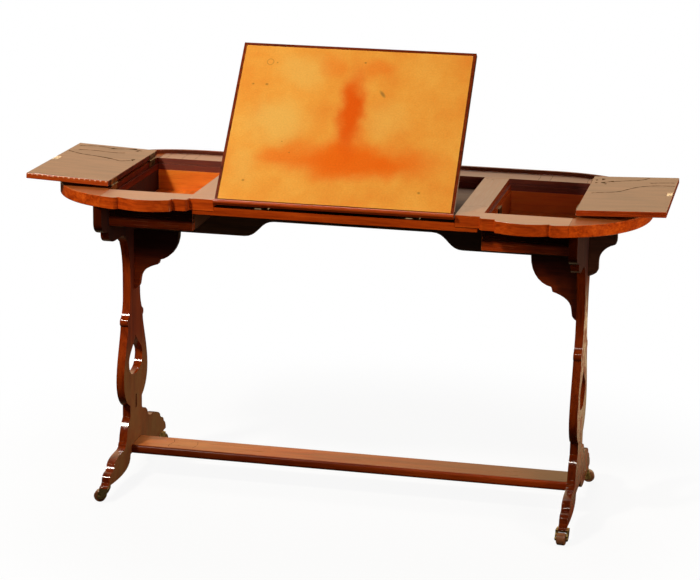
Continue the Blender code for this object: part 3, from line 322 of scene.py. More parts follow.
class Nodes:
    """Short ways to add and link shader and geometry nodes."""

    def __init__(self, tree):
        self.tree = tree

    def add(self, kind, inputs=None, **settings):
        made = self.tree.nodes.new(kind)
        for key, value in settings.items():
            setattr(made, key, value)
        for key, value in (inputs or {}).items():
            self.set(made.inputs[key], value)
        return made

    def set(self, socket, value):
        if isinstance(value, bpy.types.NodeSocket):
            self.tree.links.new(value, socket)
        else:
            socket.default_value = value

    def math(self, operation, first, second=0.0):
        return self.add("ShaderNodeMath", {0: first, 1: second}, operation=operation).outputs[0]

    def product(self, *values):
        made = values[0]
        for value in values[1:]:
            made = self.math("MULTIPLY", made, value)
        return made

    def rest(self, share):
        """What a share leaves of 1."""
        return self.math("SUBTRACT", 1.0, share)

    def vector(self, operation, first, second=(0.0, 0.0, 0.0)):
        return self.add("ShaderNodeVectorMath", {0: first, 1: second}, operation=operation).outputs[0]

    def length(self, place):
        return self.add("ShaderNodeVectorMath", {0: place}, operation="LENGTH").outputs["Value"]

    def parts(self, place):
        return self.add("ShaderNodeSeparateXYZ", {0: place}).outputs

    def mix(self, share, first, second, blend="MIX"):
        made = self.add("ShaderNodeMix", data_type="RGBA", blend_type=blend)
        for key, value in ((0, share), (6, first), (7, second)):
            self.set(made.inputs[key], colour(value) if isinstance(value, tuple) else value)
        return made.outputs[2]

    def choose(self, share, first, second):
        """The first shader where the share is 0, and the second where it is 1."""
        return self.add("ShaderNodeMixShader", {0: share, 1: first, 2: second}).outputs[0]

    def between(self, value, low, high, to_low=0.0, to_high=1.0, kind="SMOOTHSTEP"):
        made = self.add("ShaderNodeMapRange", {0: value, 1: low, 2: high, 3: to_low, 4: to_high})
        made.interpolation_type = kind
        return made.outputs[0]

    def fade(self, share, end):
        """1 where the share is 0, changing evenly to the end where it is 1."""
        return self.between(share, 0.0, 1.0, 1.0, end, "LINEAR")

    def noise(self, place, scale, detail=4.0, roughness=0.55, distortion=0.0):
        inputs = {"Vector": place, "Scale": scale, "Detail": detail, "Roughness": roughness,
                  "Distortion": distortion}
        return self.add("ShaderNodeTexNoise", inputs).outputs["Fac"]

    def ramp(self, value, *stops):
        made = self.add("ShaderNodeValToRGB", {0: value})
        points = made.color_ramp.elements
        while len(points) < len(stops):
            points.new(1.0)
        for point, (at, tone) in zip(points, stops):
            point.position = at
            point.color = colour(tone)
        return made.outputs[0]

    def bump(self, height, strength, distance):
        inputs = {"Height": height, "Strength": strength, "Distance": distance}
        return self.add("ShaderNodeBump", inputs).outputs[0]

    def turned(self, place, angles):
        return self.add("ShaderNodeMapping", {"Vector": place, "Rotation": angles}).outputs[0]

    def spot(self, place, at, size, core=0.2):
        """A soft oval patch: 1 in its core, fading to 0 at its size."""
        offset = self.vector("SUBTRACT", place, (*at, 0.0))
        reach = self.length(self.vector("DIVIDE", offset, (*size, FAR)))
        return self.between(reach, core, 1.0, 1.0, 0.0)


def new_material(name):
    made = bpy.data.materials.new(name)
    made.use_nodes = True
    return made, Nodes(made.node_tree), made.node_tree.nodes["Principled BSDF"]


class Wood:
    """Polished wood: bands and streaks along the grain, pores, and slow changes of tone."""

    def __init__(self, name, tones=MAHOGANY, grain="X", roughness=0.2, shift=0.0):
        self.made, self.net, self.shader = new_material(name)
        net = self.net
        coords = net.add("ShaderNodeTexCoord").outputs
        self.place = coords["Object"]
        self.at = net.parts(self.place)
        self.facing = net.parts(coords["Normal"])
        moved = net.vector("ADD", self.place, shift * SHIFT_WAY)
        along = net.vector("MULTIPLY", moved, STRETCH[grain])
        bands = net.noise(along, 2.6, 3.0, 0.5, 0.8)
        streaks = net.noise(along, 14.0, 5.0, 0.62)
        patches = net.noise(moved, 5.0, 2.0, 0.5)
        pores = net.between(net.noise(net.vector("MULTIPLY", along, PORE_STRETCH), 9.0, 2.0, 0.6), 0.30, 0.40)
        figure = net.math("ADD", net.product(bands, 0.55), net.product(streaks, 0.45))
        tone = net.ramp(figure, (0.30, tones[0]), (0.50, tones[1]), (0.72, tones[2]))
        tone = net.mix(1.0, tone, net.between(patches, 0.3, 0.7, 0.80, 1.12, "LINEAR"), "MULTIPLY")
        self.tone = net.mix(net.product(net.rest(pores), 0.45), tone, tones[0])
        self.rough = net.between(streaks, 0.2, 0.8, roughness * 0.8, roughness * 1.25, "LINEAR")
        self.normal = net.bump(pores, 0.15, 0.0002)

    def paint(self, share, tone):
        self.tone = self.net.mix(share, self.tone, tone)

    def darken(self, share):
        self.tone = self.net.mix(1.0, self.tone, share, "MULTIPLY")

    def dull(self, share, roughness):
        kept = self.net.product(self.rough, self.net.rest(share))
        self.rough = self.net.math("ADD", kept, self.net.product(share, roughness))

    def dent(self, height, distance):
        made = self.net.bump(height, 1.0, distance)
        self.net.set(made.node.inputs["Normal"], self.normal)
        self.normal = made

    def outward(self):
        """Distance from the table's middle, negative on faces that look towards it, 0 on those along it."""
        return self.net.product(self.at["X"], self.facing["X"])

    def inside(self):
        """1 on upright faces that look into an opening: towards the middle, or forwards from the back."""
        net = self.net
        inward = net.between(self.outward(), *OPENING_FACES, 1.0, 0.0)
        forward = net.between(self.facing["Y"], -0.9, -0.7, 1.0, 0.0)
        back = net.product(net.between(self.at["Y"], *OPENING_BACK), forward)
        return net.math("MAXIMUM", inward, back)

    def finish(self, coat, specular=0.5):
        net = self.net
        net.set(self.shader.inputs["Base Color"], self.tone)
        net.set(self.shader.inputs["Roughness"], self.rough)
        net.set(self.shader.inputs["Normal"], self.normal)
        self.shader.inputs["Specular IOR Level"].default_value = specular
        self.shader.inputs["Coat Weight"].default_value = coat
        self.shader.inputs["Coat Roughness"].default_value = COAT_ROUGHNESS
        return self.made


def worn_glint_edge(name):
    """Arrises rubbed paler in places: wear, and painted highlights along the edges."""
    board = Wood(name, MAHOGANY, "X", 0.25)
    rubbed = board.net.between(board.net.noise(board.place, 22.0, 3.0, 0.6), 0.45, 0.65)
    board.paint(board.net.product(rubbed, 0.5), WORN_GLINT)
    return board.finish(0.4)


def top_board(name, grain, shift, flat_tone_and_sheen=FADED_SHEEN, roughness=0.38, specular=1.0):
    """The top's boards: a tone painted on the flat, on most boards a faded tan that is partly painted sheen,
    glossy sides, rebate ledges and faces into the openings painted dark as shade, and arrises rubbed smooth
    and paler, also standing in for painted highlights.
    """
    # The boards start from the mahogany painted brighter as light
    board = Wood(name, EDGE, grain, roughness, shift)
    net = board.net
    up = board.facing["Z"]
    flat = net.between(up, 0.92, 0.98)
    arris = net.product(net.between(up, 0.10, 0.35), net.rest(flat))
    rubbed = net.between(net.noise(board.place, 26.0, 3.0, 0.6), 0.40, 0.62)
    ledge_shade = net.product(flat, net.between(board.at["Z"], *LEDGE_SHADE_HEIGHTS, 1.0, 0.0))
    opening = board.inside()
    # The flat faces get a painted tone: on most boards a faded tan that is partly painted sheen
    board.paint(net.product(flat, 0.82), flat_tone_and_sheen)
    # Painted shade: the rebate ledges below the top are painted dark mahogany, and faces that look into the
    # openings are darkened
    board.paint(ledge_shade, MAHOGANY[0])
    board.darken(net.fade(opening, 0.28))
    # Rubbed arrises painted paler: wear, and painted highlights
    board.paint(net.product(arris, rubbed, 0.45), WORN_GLINT)
    board.dull(net.between(up, 0.80, 0.98, 1.0, 0.0), 0.15)
    board.dull(arris, 0.12)
    board.dull(net.math("MAXIMUM", ledge_shade, opening), 1.0)
    board.dent(net.product(arris, net.noise(board.place, 110.0, 3.0, 0.6)), 0.0010)
    return board.finish(0.0, specular)


def chip_glints(board):
    """1 on the pale chip marks along a folded lid's front arris, which also stand in for painted highlights.
    """
    net = board.net
    ripple = net.math("SINE", net.product(board.at["X"], 2 * math.pi / CHIP_GLINT_SPACING))
    uneven = net.noise(board.place, 60.0, 2.0)
    chip_glinting = net.between(net.math("ADD", ripple, uneven), 0.9, 1.4)
    front = net.between(board.facing["Y"], -0.95, -0.5, 1.0, 0.0)
    rise = net.math("ADD", net.product(board.at["X"], math.tan(LID_TILT)), board.at["Z"])
    upper = net.between(rise, LID_FACE_Z - CHIP_GLINT_LOW, LID_FACE_Z - CHIP_GLINT_HIGH)
    return net.product(chip_glinting, front, upper)


def lid_board(name, chip_glinting):
    """Lids: mahogany edges, a faded show face that is partly painted sheen, a paler, plainer inside, and an
    edge into the opening painted dark as shade. One has pale chip marks on its front arris that also stand in
    for painted highlights.
    """
    board = Wood(name, MAHOGANY, "X", 0.25, 0.4)
    net = board.net
    inside = net.between(board.facing["Z"], 0.6, 0.8)
    plain = net.ramp(net.noise(net.vector("MULTIPLY", board.place, (3.0, 14.0, 1.0)), 3.0, 4.0),
                     (0.3, WALNUT[0]), (0.5, WALNUT[1]), (0.7, WALNUT[2]))
    opening = board.inside()
    board.paint(net.between(board.facing["Z"], -0.9, -0.7, 0.6, 0.0), FADED_SHEEN)
    board.paint(inside, plain)
    board.dull(inside, 0.32)
    # Painted shade: the lid's edge that looks into the opening is darkened
    board.darken(net.fade(opening, 0.30))
    board.dull(opening, 1.0)
    if chip_glinting:
        # Pale chip marks that also stand in for painted highlights
        board.paint(net.product(chip_glints(board), 0.85), CHIP_GLINT)
    return board.finish(0.0, 0.42)


def shaded_board(name, heights, share, roughness=0.2, coat=0.5):
    """A board painted darker above a height: on the box fronts and the brackets, painted shade under the
    top's overhang; on the flap's border, darker above its foot.
    """
    board = Wood(name, MAHOGANY, "X", roughness, 1.3)
    board.darken(board.net.between(board.at["Z"], *heights, 1.0, share))
    return board.finish(coat)


def trestle_board(name):
    """Trestles: painted shade at the head and on the right trestle's edges, glossy on the edges, painted
    light low inside, darker on the edges low down, and crazed polish outside.
    """
    board = Wood(name, TRESTLE, "Z", 0.13, 1.3)
    net = board.net
    height = board.at["Z"]
    outward = board.outward()
    face = net.between(net.math("ABSOLUTE", board.facing["X"]), 0.8, 0.95)
    edge = net.rest(face)
    # Painted shade: the head and the edges up under the top darken
    head = net.between(height, *HEAD_SHADE_HEIGHTS, 1.0, HEAD_SHADE_SHARE)
    edge_head_shade = net.product(edge, net.between(height, *HEAD_EDGE_SHADE_HEIGHTS, 1.0, HEAD_SHADE_SHARE))
    board.darken(net.math("MAXIMUM", head, edge_head_shade))
    # Painted shade: the right trestle's edges are darker, away from the key light
    right_edge_shade = net.product(edge, net.between(board.at["X"], *RIGHT_TRESTLE_SHADE))
    board.darken(net.fade(right_edge_shade, 0.62))
    mottle = net.between(net.noise(board.place, 24.0, 5.0, 0.65, 0.6), 0.30, 0.70, 0.45, 1.0)
    inner = net.between(outward, *INNER_FACES, 1.0, 0.0)
    # Painted light low on the inner faces, mottled
    inner_light = net.product(inner, net.between(height, *INNER_LIGHT_HEIGHTS, 1.0, 0.0))
    board.paint(net.product(inner_light, mottle, 0.74), INNER_FACE_LIGHT)
    foot = net.product(edge, net.between(height, *FOOT_HEIGHTS, 1.0, 0.0))
    board.darken(net.fade(foot, 0.55))
    board.dull(face, net.between(height, *DULL_HEIGHTS, 0.6, 1.0))
    crazed = net.between(net.noise(board.place, 45.0, 4.0, 0.6), 0.40, 0.60, 0.05, 0.55)
    polish = net.math("MAXIMUM", crazed, net.between(height, *POLISH_HEIGHTS))
    board.dull(net.between(outward, *OUTER_FACES), polish)
    return board.finish(0.0, 0.35)


def stretcher_board(name):
    """The stretcher: its top paler at the left, rubbed and painted with sheen and light, darker towards the
    right, and its edges darker.
    """
    board = Wood(name, MAHOGANY, "X", 0.3, 1.3)
    net = board.net
    across = board.at["X"]
    flat = net.between(board.facing["Z"], 0.85, 0.97)
    # The top paler to the left: rubbed, and painted sheen and light
    rubbed = net.between(across, *STRETCHER_RUBBED_SHEEN, 0.75, 0.15, "LINEAR")
    clouds = net.noise(net.vector("MULTIPLY", board.place, (1.0, 3.0, 1.0)), 7.0, 4.0)
    board.paint(net.product(flat, rubbed, net.between(clouds, 0.3, 0.7, 0.4, 1.0)), RUBBED_SHEEN)
    # The top darker towards the right
    darker_right = net.between(across, *STRETCHER_RIGHT_SPAN, 0.0, 0.9, "LINEAR")
    board.paint(net.product(flat, darker_right), STRETCHER_RIGHT_TONE)
    edge = net.between(across, *STRETCHER_EDGE, 0.32, 0.65, "LINEAR")
    board.darken(net.math("MAXIMUM", flat, edge))
    return board.finish(0.0, 0.12)


def lining_board(name, grain, shift):
    """Backs, sides and bottoms of the boxes: bright inside, painted deeper red at the right as shade, painted
    near black as shade on the faces towards the well, and dark outside.
    """
    board = Wood(name, LINING, grain, 0.45, shift)
    net = board.net
    well_side_shade = net.between(board.outward(), *WELL_FACES, 1.0, 0.0)
    # Painted shade: the right compartment's lining is painted deeper red
    board.paint(net.between(board.at["X"], *RIGHT_LINING_SHADE, 0.0, 0.55), RIGHT_LINING_SHADE_TONE)
    # Painted shade: faces of the boxes that look towards the well are painted near black
    board.paint(net.product(well_side_shade, 0.92), UMBER[0])
    board.dull(well_side_shade, 1.0)
    board.paint(net.between(board.facing["Y"], 0.7, 0.9, 0.0, 0.9), SHADOWED[1])
    board.paint(net.between(board.facing["Z"], -0.9, -0.7, 0.9, 0.0), UMBER[1])
    return board.finish(0.0)


def rail_board(name):
    """The thin rail under the flap's nose, its hidden top face left raw and matt, and painted near black as
    shade in the slot.
    """
    board = Wood(name, MAHOGANY, "X", 0.3, 2.1)
    up = board.net.between(board.facing["Z"], 0.5, 0.7)
    # The hidden top face is painted near black: painted shade in the slot
    board.paint(up, SLOT_SHADE)
    board.dull(up, 0.95)
    return board.finish(0.0, 0.0)


def well_board(name):
    """The well's floor: waxed, and painted black as shade towards the slot under the flap's nose."""
    board = Wood(name, UMBER, "X", 0.55, 3.1)
    front = board.net.between(board.at["Y"], *WELL_SHADE, 1.0, 0.0)
    # Painted shade towards the slot
    board.paint(front, SLOT_SHADE)
    board.dull(front, 0.9)
    return board.finish(0.0, 0.35)


def leather(name):
    """Worn tan leather with a darker stain in its middle, pale rubbed patches, spots and a ring mark."""
    made, net, shader = new_material(name)
    place = net.vector("SUBTRACT", net.add("ShaderNodeTexCoord").outputs["Object"], FLAP_AXIS)
    place = net.turned(place, (-FLAP_ANGLE, 0.0, 0.0))
    waver = net.add("ShaderNodeTexNoise", {"Vector": place, "Scale": 16.0, "Detail": 4.0}).outputs["Color"]
    waver = net.vector("MULTIPLY", net.vector("SUBTRACT", waver, (0.5, 0.5, 0.5)), WAVER)
    loose = net.vector("ADD", place, waver)
    clouds = net.noise(place, 9.0, 5.0, 0.62)
    tone = net.ramp(clouds, (0.30, LEATHER[0]), (0.50, LEATHER[1]), (0.70, LEATHER[2]))
    patches = [(patch, LEATHER_PALE) for patch in PALE]
    patches += [(patch, LEATHER_STAIN) for patch in (BAND, *SMEARS)]
    patches += [(STEM, LEATHER_STEM)]
    for (at, size, strength), patch_tone in patches:
        tone = net.mix(net.product(net.spot(loose, at, size), strength), tone, patch_tone)
    for at, radius in MARKS:
        mark = net.spot(place, at, (radius, radius * MARK_HEIGHT), 0.1)
        tone = net.mix(net.product(mark, 0.6), tone, MARK_TONE)
    at, size, strength = SCUFF
    scuff = net.turned(net.vector("SUBTRACT", place, (*at, 0.0)), (0.0, 0.0, SCUFF_TURN))
    tone = net.mix(net.product(net.spot(scuff, (0.0, 0.0), size), strength), tone, SCUFF_TONE)
    offset = net.vector("SUBTRACT", place, (*RING, 0.0))
    from_ring = net.length(net.vector("MULTIPLY", offset, (1.0, 1.0, 0.0)))
    off_ring = net.math("ABSOLUTE", net.math("SUBTRACT", from_ring, RING_RADIUS))
    tone = net.mix(net.product(net.between(off_ring, *RING_LINE, 1.0, 0.0), 0.45), tone, RING_TONE)
    fine = net.noise(place, 260.0, 3.0, 0.6)
    tone = net.mix(1.0, tone, net.between(fine, 0.3, 0.7, 0.93, 1.05, "LINEAR"), "MULTIPLY")
    net.set(shader.inputs["Base Color"], tone)
    net.set(shader.inputs["Roughness"], net.between(clouds, 0.3, 0.7, 0.62, 0.48, "LINEAR"))
    shader.inputs["Specular IOR Level"].default_value = 0.05
    pebble = net.add("ShaderNodeTexVoronoi", {"Vector": place, "Scale": 600.0}).outputs["Distance"]
    net.set(shader.inputs["Normal"], net.bump(net.math("ADD", pebble, clouds), 0.2, 0.0003))
    return made


def brass(name, tones):
    """Scratched brass, tarnished in patches."""
    made, net, shader = new_material(name)
    place = net.add("ShaderNodeTexCoord").outputs["Object"]
    tarnish = net.noise(place, 90.0, 5.0, 0.65)
    net.set(shader.inputs["Base Color"], net.ramp(tarnish, (0.35, tones[0]), (0.62, tones[1])))
    net.set(shader.inputs["Roughness"], net.between(tarnish, 0.3, 0.7, 0.6, 0.38, "LINEAR"))
    shader.inputs["Metallic"].default_value = 1.0
    scratches = net.noise(net.vector("MULTIPLY", place, (1.0, 9.0, 1.0)), 700.0, 2.0)
    net.set(shader.inputs["Normal"], net.bump(scratches, 0.15, 0.0001))
    return made


def matt(name, tones):
    """A dull dark filling for cracks and the lids' figure."""
    made, net, shader = new_material(name)
    place = net.add("ShaderNodeTexCoord").outputs["Object"]
    tone = net.ramp(net.noise(place, 120.0, 3.0), (0.35, tones[0]), (0.65, tones[1]))
    net.set(shader.inputs["Base Color"], tone)
    net.set(shader.inputs["Roughness"], net.between(net.noise(place, 200.0), 0.3, 0.7, 0.8, 1.0, "LINEAR"))
    net.set(shader.inputs["Normal"], net.bump(net.noise(place, 500.0), 0.2, 0.0001))
    shader.inputs["Specular IOR Level"].default_value = 0.0
    return made


def group(name):
    """An empty geometry node group, its helper and its entry socket."""
    tree = bpy.data.node_groups.new(name, "GeometryNodeTree")
    tree.interface.new_socket("Geometry", in_out="INPUT", socket_type="NodeSocketGeometry")
    tree.interface.new_socket("Geometry", in_out="OUTPUT", socket_type="NodeSocketGeometry")
    net = Nodes(tree)
    return tree, net, net.add("NodeGroupInput").outputs[0]


def smooth_group():
    """Smooths the shading wherever an edge is blunt."""
    tree, net, entry = group("smooth_by_angle")
    angle = net.add("GeometryNodeInputMeshEdgeAngle").outputs[0]
    blunt = net.math("LESS_THAN", angle, SHARP_ANGLE)
    plain = net.add("GeometryNodeRemoveAttribute", {"Geometry": entry, "Name": "custom_normal"})
    faces = net.add("GeometryNodeSetShadeSmooth", {"Geometry": plain.outputs[0], "Shade Smooth": True})
    faces.domain = "FACE"
    edges = net.add("GeometryNodeSetShadeSmooth", {"Geometry": faces.outputs[0], "Shade Smooth": blunt})
    edges.domain = "EDGE"
    net.add("NodeGroupOutput", {0: edges.outputs[0]})
    return tree


def outer_edge_group():
    """Weighs the edges for the bevel: full along the top's outline, slight at its joints and openings."""
    tree, net, entry = group("weigh_outline")
    place = net.parts(net.add("GeometryNodeInputPosition").outputs[0])
    sharp = net.math("GREATER_THAN", net.add("GeometryNodeInputMeshEdgeAngle").outputs[0], SHARP_ANGLE)
    ends = net.math("GREATER_THAN", net.math("ABSOLUTE", place["X"]), TOP_END_X)
    front = net.math("LESS_THAN", place["Y"], TOP_FRONT_Y)
    back = net.math("GREATER_THAN", place["Y"], TOP_BACK_Y)
    outline = net.math("MAXIMUM", ends, net.math("MAXIMUM", front, back))
    tips = net.add("GeometryNodeInputMeshEdgeVertices").outputs
    apart = net.vector("SUBTRACT", tips["Position 1"], tips["Position 2"])
    run = net.parts(net.vector("ABSOLUTE", apart))
    level = net.math("LESS_THAN", run["Z"], LEVEL_EDGE_RISE)
    joint = net.product(net.math("LESS_THAN", run["X"], JOINT_EDGE_RUN), net.rest(ends))
    outline = net.product(outline, level, net.rest(joint))
    weight = net.product(sharp, net.between(outline, 0.0, 1.0, JOINT_WEIGHT, 1.0, "LINEAR"))
    stored = net.add("GeometryNodeStoreNamedAttribute",
                     {"Geometry": entry, "Name": "bevel_weight_edge"}, data_type="FLOAT", domain="EDGE")
    net.set(stored.inputs["Value"], weight)
    net.add("NodeGroupOutput", {0: stored.outputs[0]})
    return tree


SMOOTH = smooth_group()
OUTLINE = outer_edge_group()


def ease(node, width, segments, outline):
    """Rounds a CAD node's arrises with modifiers and smooths its curved faces."""
    weld = node.modifiers.new("weld", "WELD")
    weld.merge_threshold = WELD_REACH
    flat = node.modifiers.new("flat", "DECIMATE")
    flat.decimate_type = "DISSOLVE"
    flat.angle_limit = FLAT_ANGLE
    if outline:
        node.modifiers.new("weigh", "NODES").node_group = OUTLINE
    bevel = node.modifiers.new("bevel", "BEVEL")
    bevel.width = width
    bevel.segments = segments
    bevel.limit_method = "WEIGHT" if outline else "ANGLE"
    bevel.angle_limit = SHARP_ANGLE
    if len(node.data.materials) > 1:
        bevel.material = 1
    node.modifiers.new("smooth", "NODES").node_group = SMOOTH
    even = node.modifiers.new("even", "WEIGHTED_NORMAL")
    even.keep_sharp = True


def dress(name, *looks, width=0.001, segments=2, outline=False):
    """Gives a CAD node its material, a second one for its arrises if there is one, rubbed paler and painted
    as highlights, and soft arrises.
    """
    node = nodes[name]
    node.data.materials.clear()
    for look in looks:
        node.data.materials.append(look)
    ease(node, width, segments, outline)


def add_piece(name, shape, body, look):
    """A new piece from a bmesh, riding a body."""
    mesh = bpy.data.meshes.new(name)
    shape.to_mesh(mesh)
    shape.free()
    mesh.materials.append(look)
    made = bpy.data.objects.new(name, mesh)
    bpy.context.scene.collection.objects.link(made)
    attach(made, body)


def smooth_path(points, steps=6):
    """More points on a smooth curve through the given ones."""
    made = []
    last = len(points) - 1
    for number in range(last):
        near = [Vector(points[min(max(number + turn, 0), last)]) for turn in (-1, 0, 1, 2)]
        before, start, end, after = near
        for step in range(steps):
            share = step / steps
            made.append(0.5 * (2 * start + (end - before) * share
                               + (2 * before - 5 * start + 4 * end - after) * share ** 2
                               + (3 * start - before - 3 * end + after) * share ** 3))
    return made + [Vector(points[-1])]


def add_ribbon(shape, path, place, width):
    """A thin strip along a path on a face, swelling and tapering. place turns (across, depth) into space."""
    last = len(path) - 1
    row = []
    for number, point in enumerate(path):
        ahead = path[min(number + 1, last)] - path[max(number - 1, 0)]
        across = Vector((-ahead.y, ahead.x)).normalized()
        swell = 1.0 - LINE_SWELL + LINE_SWELL * math.sin(number * 1.9) * math.cos(number * 0.7)
        half = width / 2 * swell * (LINE_TIP if number in (0, last) else 1.0)
        row.append([shape.verts.new(place(point + across * half * way)) for way in (1, -1)])
    for (first, second), (third, fourth) in zip(row, row[1:]):
        shape.faces.new((first, second, fourth, third))


def add_knot(shape, centre, place, size):
    """A small uneven patch on a face."""
    ring = []
    for number in range(KNOT_POINTS):
        turn = 2 * math.pi * number / KNOT_POINTS
        reach = 1.0 + 0.3 * math.sin(3 * turn + centre[0] * KNOT_PHASE)
        point = Vector((centre[0] + size[0] * reach * math.cos(turn),
                        centre[1] + size[1] * reach * math.sin(turn)))
        ring.append(shape.verts.new(place(point)))
    shape.faces.new(ring)


def lid_point(side, point):
    """A place on a folded lid's inside face, from (out from the pin, depth)."""
    rise = LID_FACE + LINE_RISE
    out = LID_PIN_X + point.x * math.cos(LID_TILT) - rise * math.sin(LID_TILT)
    return (side * out, point.y, LID_PIN_Z + point.x * math.sin(LID_TILT) + rise * math.cos(LID_TILT))


def add_cracks(name, paths, height, look):
    """A piece of hairline cracks on a level face."""
    shape = bmesh.new()
    for path in paths:
        curve = smooth_path(path, CRACK_STEPS)
        add_ribbon(shape, curve, lambda point: (point.x, point.y, height), CRACK_WIDTH)
    add_piece(name, shape, "frame", look)


def make_lines():
    """The lids' dark figure and the cracks in the top and the stretcher."""
    figure = matt("figure", FIGURE_TONES)
    for name, side in SIDES.items():
        shape = bmesh.new()
        for line in LID_LINES[name]:
            add_ribbon(shape, smooth_path(line), lambda point: lid_point(side, point), FIGURE_WIDTH)
        for centre, size in LID_KNOTS[name]:
            add_knot(shape, centre, lambda point: lid_point(side, point), size)
        add_piece("lid_figure_" + name, shape, "lid_" + name, figure)
    filling = matt("crack", CRACK_TONES)
    add_cracks("top_cracks", CRACKS, TOP_HEIGHT + LINE_RISE, filling)
    add_cracks("stretcher_cracks", STRETCHER_CRACKS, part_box("stretcher")[1].z + LINE_RISE, filling)


def add_screw(shape, at, normal, turn, radius=0.0024, height=0.0005, slot=0.0005):
    """A slotted screw head: two domed halves and the slot's floor between them."""
    out = Vector(normal).normalized()
    spin = out.to_track_quat("Z", "Y").to_matrix().to_4x4()
    stand = Matrix.Translation(Vector(at)) @ spin @ Matrix.Rotation(turn, 4, "Z")
    reach = math.acos(slot / radius)
    for way in (0.0, math.pi):
        rings = []
        for share, rise in SCREW_PROFILE:
            ring = []
            for number in range(SCREW_STEPS + 1):
                angle = way - reach + 2 * reach * number / SCREW_STEPS
                flat = Vector((radius * share * math.cos(angle), radius * share * math.sin(angle)))
                away = max(abs(flat.x), slot) * (1 if math.cos(way) > 0 else -1)
                ring.append(shape.verts.new(stand @ Vector((away, flat.y, height * rise))))
            rings.append(ring)
        for low, high in zip(rings, rings[1:]):
            for number in range(SCREW_STEPS):
                shape.faces.new((low[number], low[number + 1], high[number + 1], high[number]))
            shape.faces.new((low[-1], low[0], high[0], high[-1]))
        shape.faces.new(rings[-1])
    floor = []
    for number in range(SLOT_FLOOR_POINTS):
        angle = 2 * math.pi * number / SLOT_FLOOR_POINTS
        point = Vector((radius * math.cos(angle), radius * math.sin(angle), height * SLOT_FLOOR_HEIGHT))
        floor.append(shape.verts.new(stand @ point))
    shape.faces.new(floor)


def add_strike_screws(name, side, look):
    """Two screws on a lid's strike plate."""
    shape = bmesh.new()
    low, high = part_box("strike_" + name)
    lean = Vector((-side * math.sin(LID_TILT), 0.0, math.cos(LID_TILT)))
    face = (low + high) / 2 + lean * STRIKE_HALF_THICK
    for end in (-1, 1):
        add_screw(shape, face + Vector((0.0, end * STRIKE_SCREW_OUT, 0.0)), lean, end * 0.7)
    add_piece("strike_screws_" + name, shape, "lid_" + name, look)


def add_lock_screws(shape, name, side):
    """Four screws in the corners of a compartment's lock."""
    low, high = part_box("lock_" + name)
    middle = (low + high) / 2
    face_x = high.x if side > 0 else low.x
    for end in (-1, 1):
        for rise in (-1, 1):
            at = (face_x, middle.y + end * LOCK_SCREW_OUT, middle.z + rise * LOCK_SCREW_RISE)
            add_screw(shape, at, (side, 0.0, 0.0), end * 0.5 + rise, radius=0.0020)


def add_leaf_screws(shape, name, side):
    """Three screws in the fixed leaf of each of a lid's hinges."""
    for end in ("front", "back"):
        low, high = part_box("lid_hinge_" + name + "_" + end + "_fixed")
        middle_y = (low.y + high.y) / 2
        for step in (-1, 0, 1):
            at = (side * LEAF_FACE_X, middle_y + step * LEAF_SCREW_STEP, LID_PIN_Z - LEAF_SCREW_DROP)
            add_screw(shape, at, (-side, 0.0, 0.0), 0.6 * step, radius=0.0019, height=0.0003)


def add_axle_ends(joint, look):
    """The riveted ends of a caster's axle, on both cheeks of its horn."""
    shape = bmesh.new()
    axis = Vector(joint["axis"]).normalized()
    for way in (-1, 1):
        at = Vector(joint["pos_m"]) + axis * way * CHEEK_OUT
        add_screw(shape, at, axis * way, 0.4, radius=0.0032, height=0.0011, slot=0.0004)
    add_piece("axle_ends_" + joint["child"][len("wheel_"):], shape, joint["parent"], look)


def make_hardware(metal, dull, pale):
    """Slotted screws on the strikes, locks and hinge leaves, and the ends of the casters' axles."""
    on_frame = bmesh.new()
    for name, side in SIDES.items():
        add_strike_screws(name, side, pale)
        add_lock_screws(on_frame, name, side)
        add_leaf_screws(on_frame, name, side)
    add_piece("frame_screws", on_frame, "frame", dull)
    for joint in frame["joints"]:
        if joint["child"].startswith("wheel_"):
            add_axle_ends(joint, metal)


def add_lamp(name, at, target, size, power, tint, mirrored):
    data = bpy.data.lights.new(name, "AREA")
    data.shape = "RECTANGLE"
    data.size, data.size_y = size
    data.energy = power
    data.color = tint
    made = bpy.data.objects.new(name, data)
    made.location = at
    made.rotation_euler = (Vector(target) - Vector(at)).to_track_quat("-Z", "Y").to_euler()
    made.visible_glossy = mirrored
    bpy.context.scene.collection.objects.link(made)


def make_world():
    """Soft light for the object, white for the camera, and a cream backdrop for reflections."""
    world = bpy.data.worlds.new("studio")
    bpy.context.scene.world = world
    world.use_nodes = True
    net = Nodes(world.node_tree)
    out = world.node_tree.nodes["World Output"]
    ambient = world.node_tree.nodes["Background"]
    ambient.inputs[0].default_value = colour(WARM)
    ambient.inputs[1].default_value = AMBIENT
    white = net.add("ShaderNodeBackground", {0: colour(WHITE), 1: 1.0}).outputs[0]
    path = net.add("ShaderNodeLightPath").outputs
    direction = net.parts(net.add("ShaderNodeTexCoord").outputs["Generated"])
    ahead = net.between(direction["Y"], 0.0, 0.6, 0.05, 1.0)
    low = net.between(direction["Z"], 0.45, 0.85, 1.0, 0.5)
    above = net.between(direction["Z"], 0.0, 0.12, 0.04, 1.0)
    glare = net.product(ahead, low, above, BACKDROP_GLARE)
    mirrored = net.add("ShaderNodeBackground", {0: colour(BACKDROP_TINT), 1: glare}).outputs[0]
    unseen = net.choose(path["Is Glossy Ray"], ambient.outputs[0], mirrored)
    seen = net.math("MAXIMUM", path["Is Camera Ray"], path["Is Transmission Ray"])
    net.set(out.inputs[0], net.choose(seen, unseen, white))


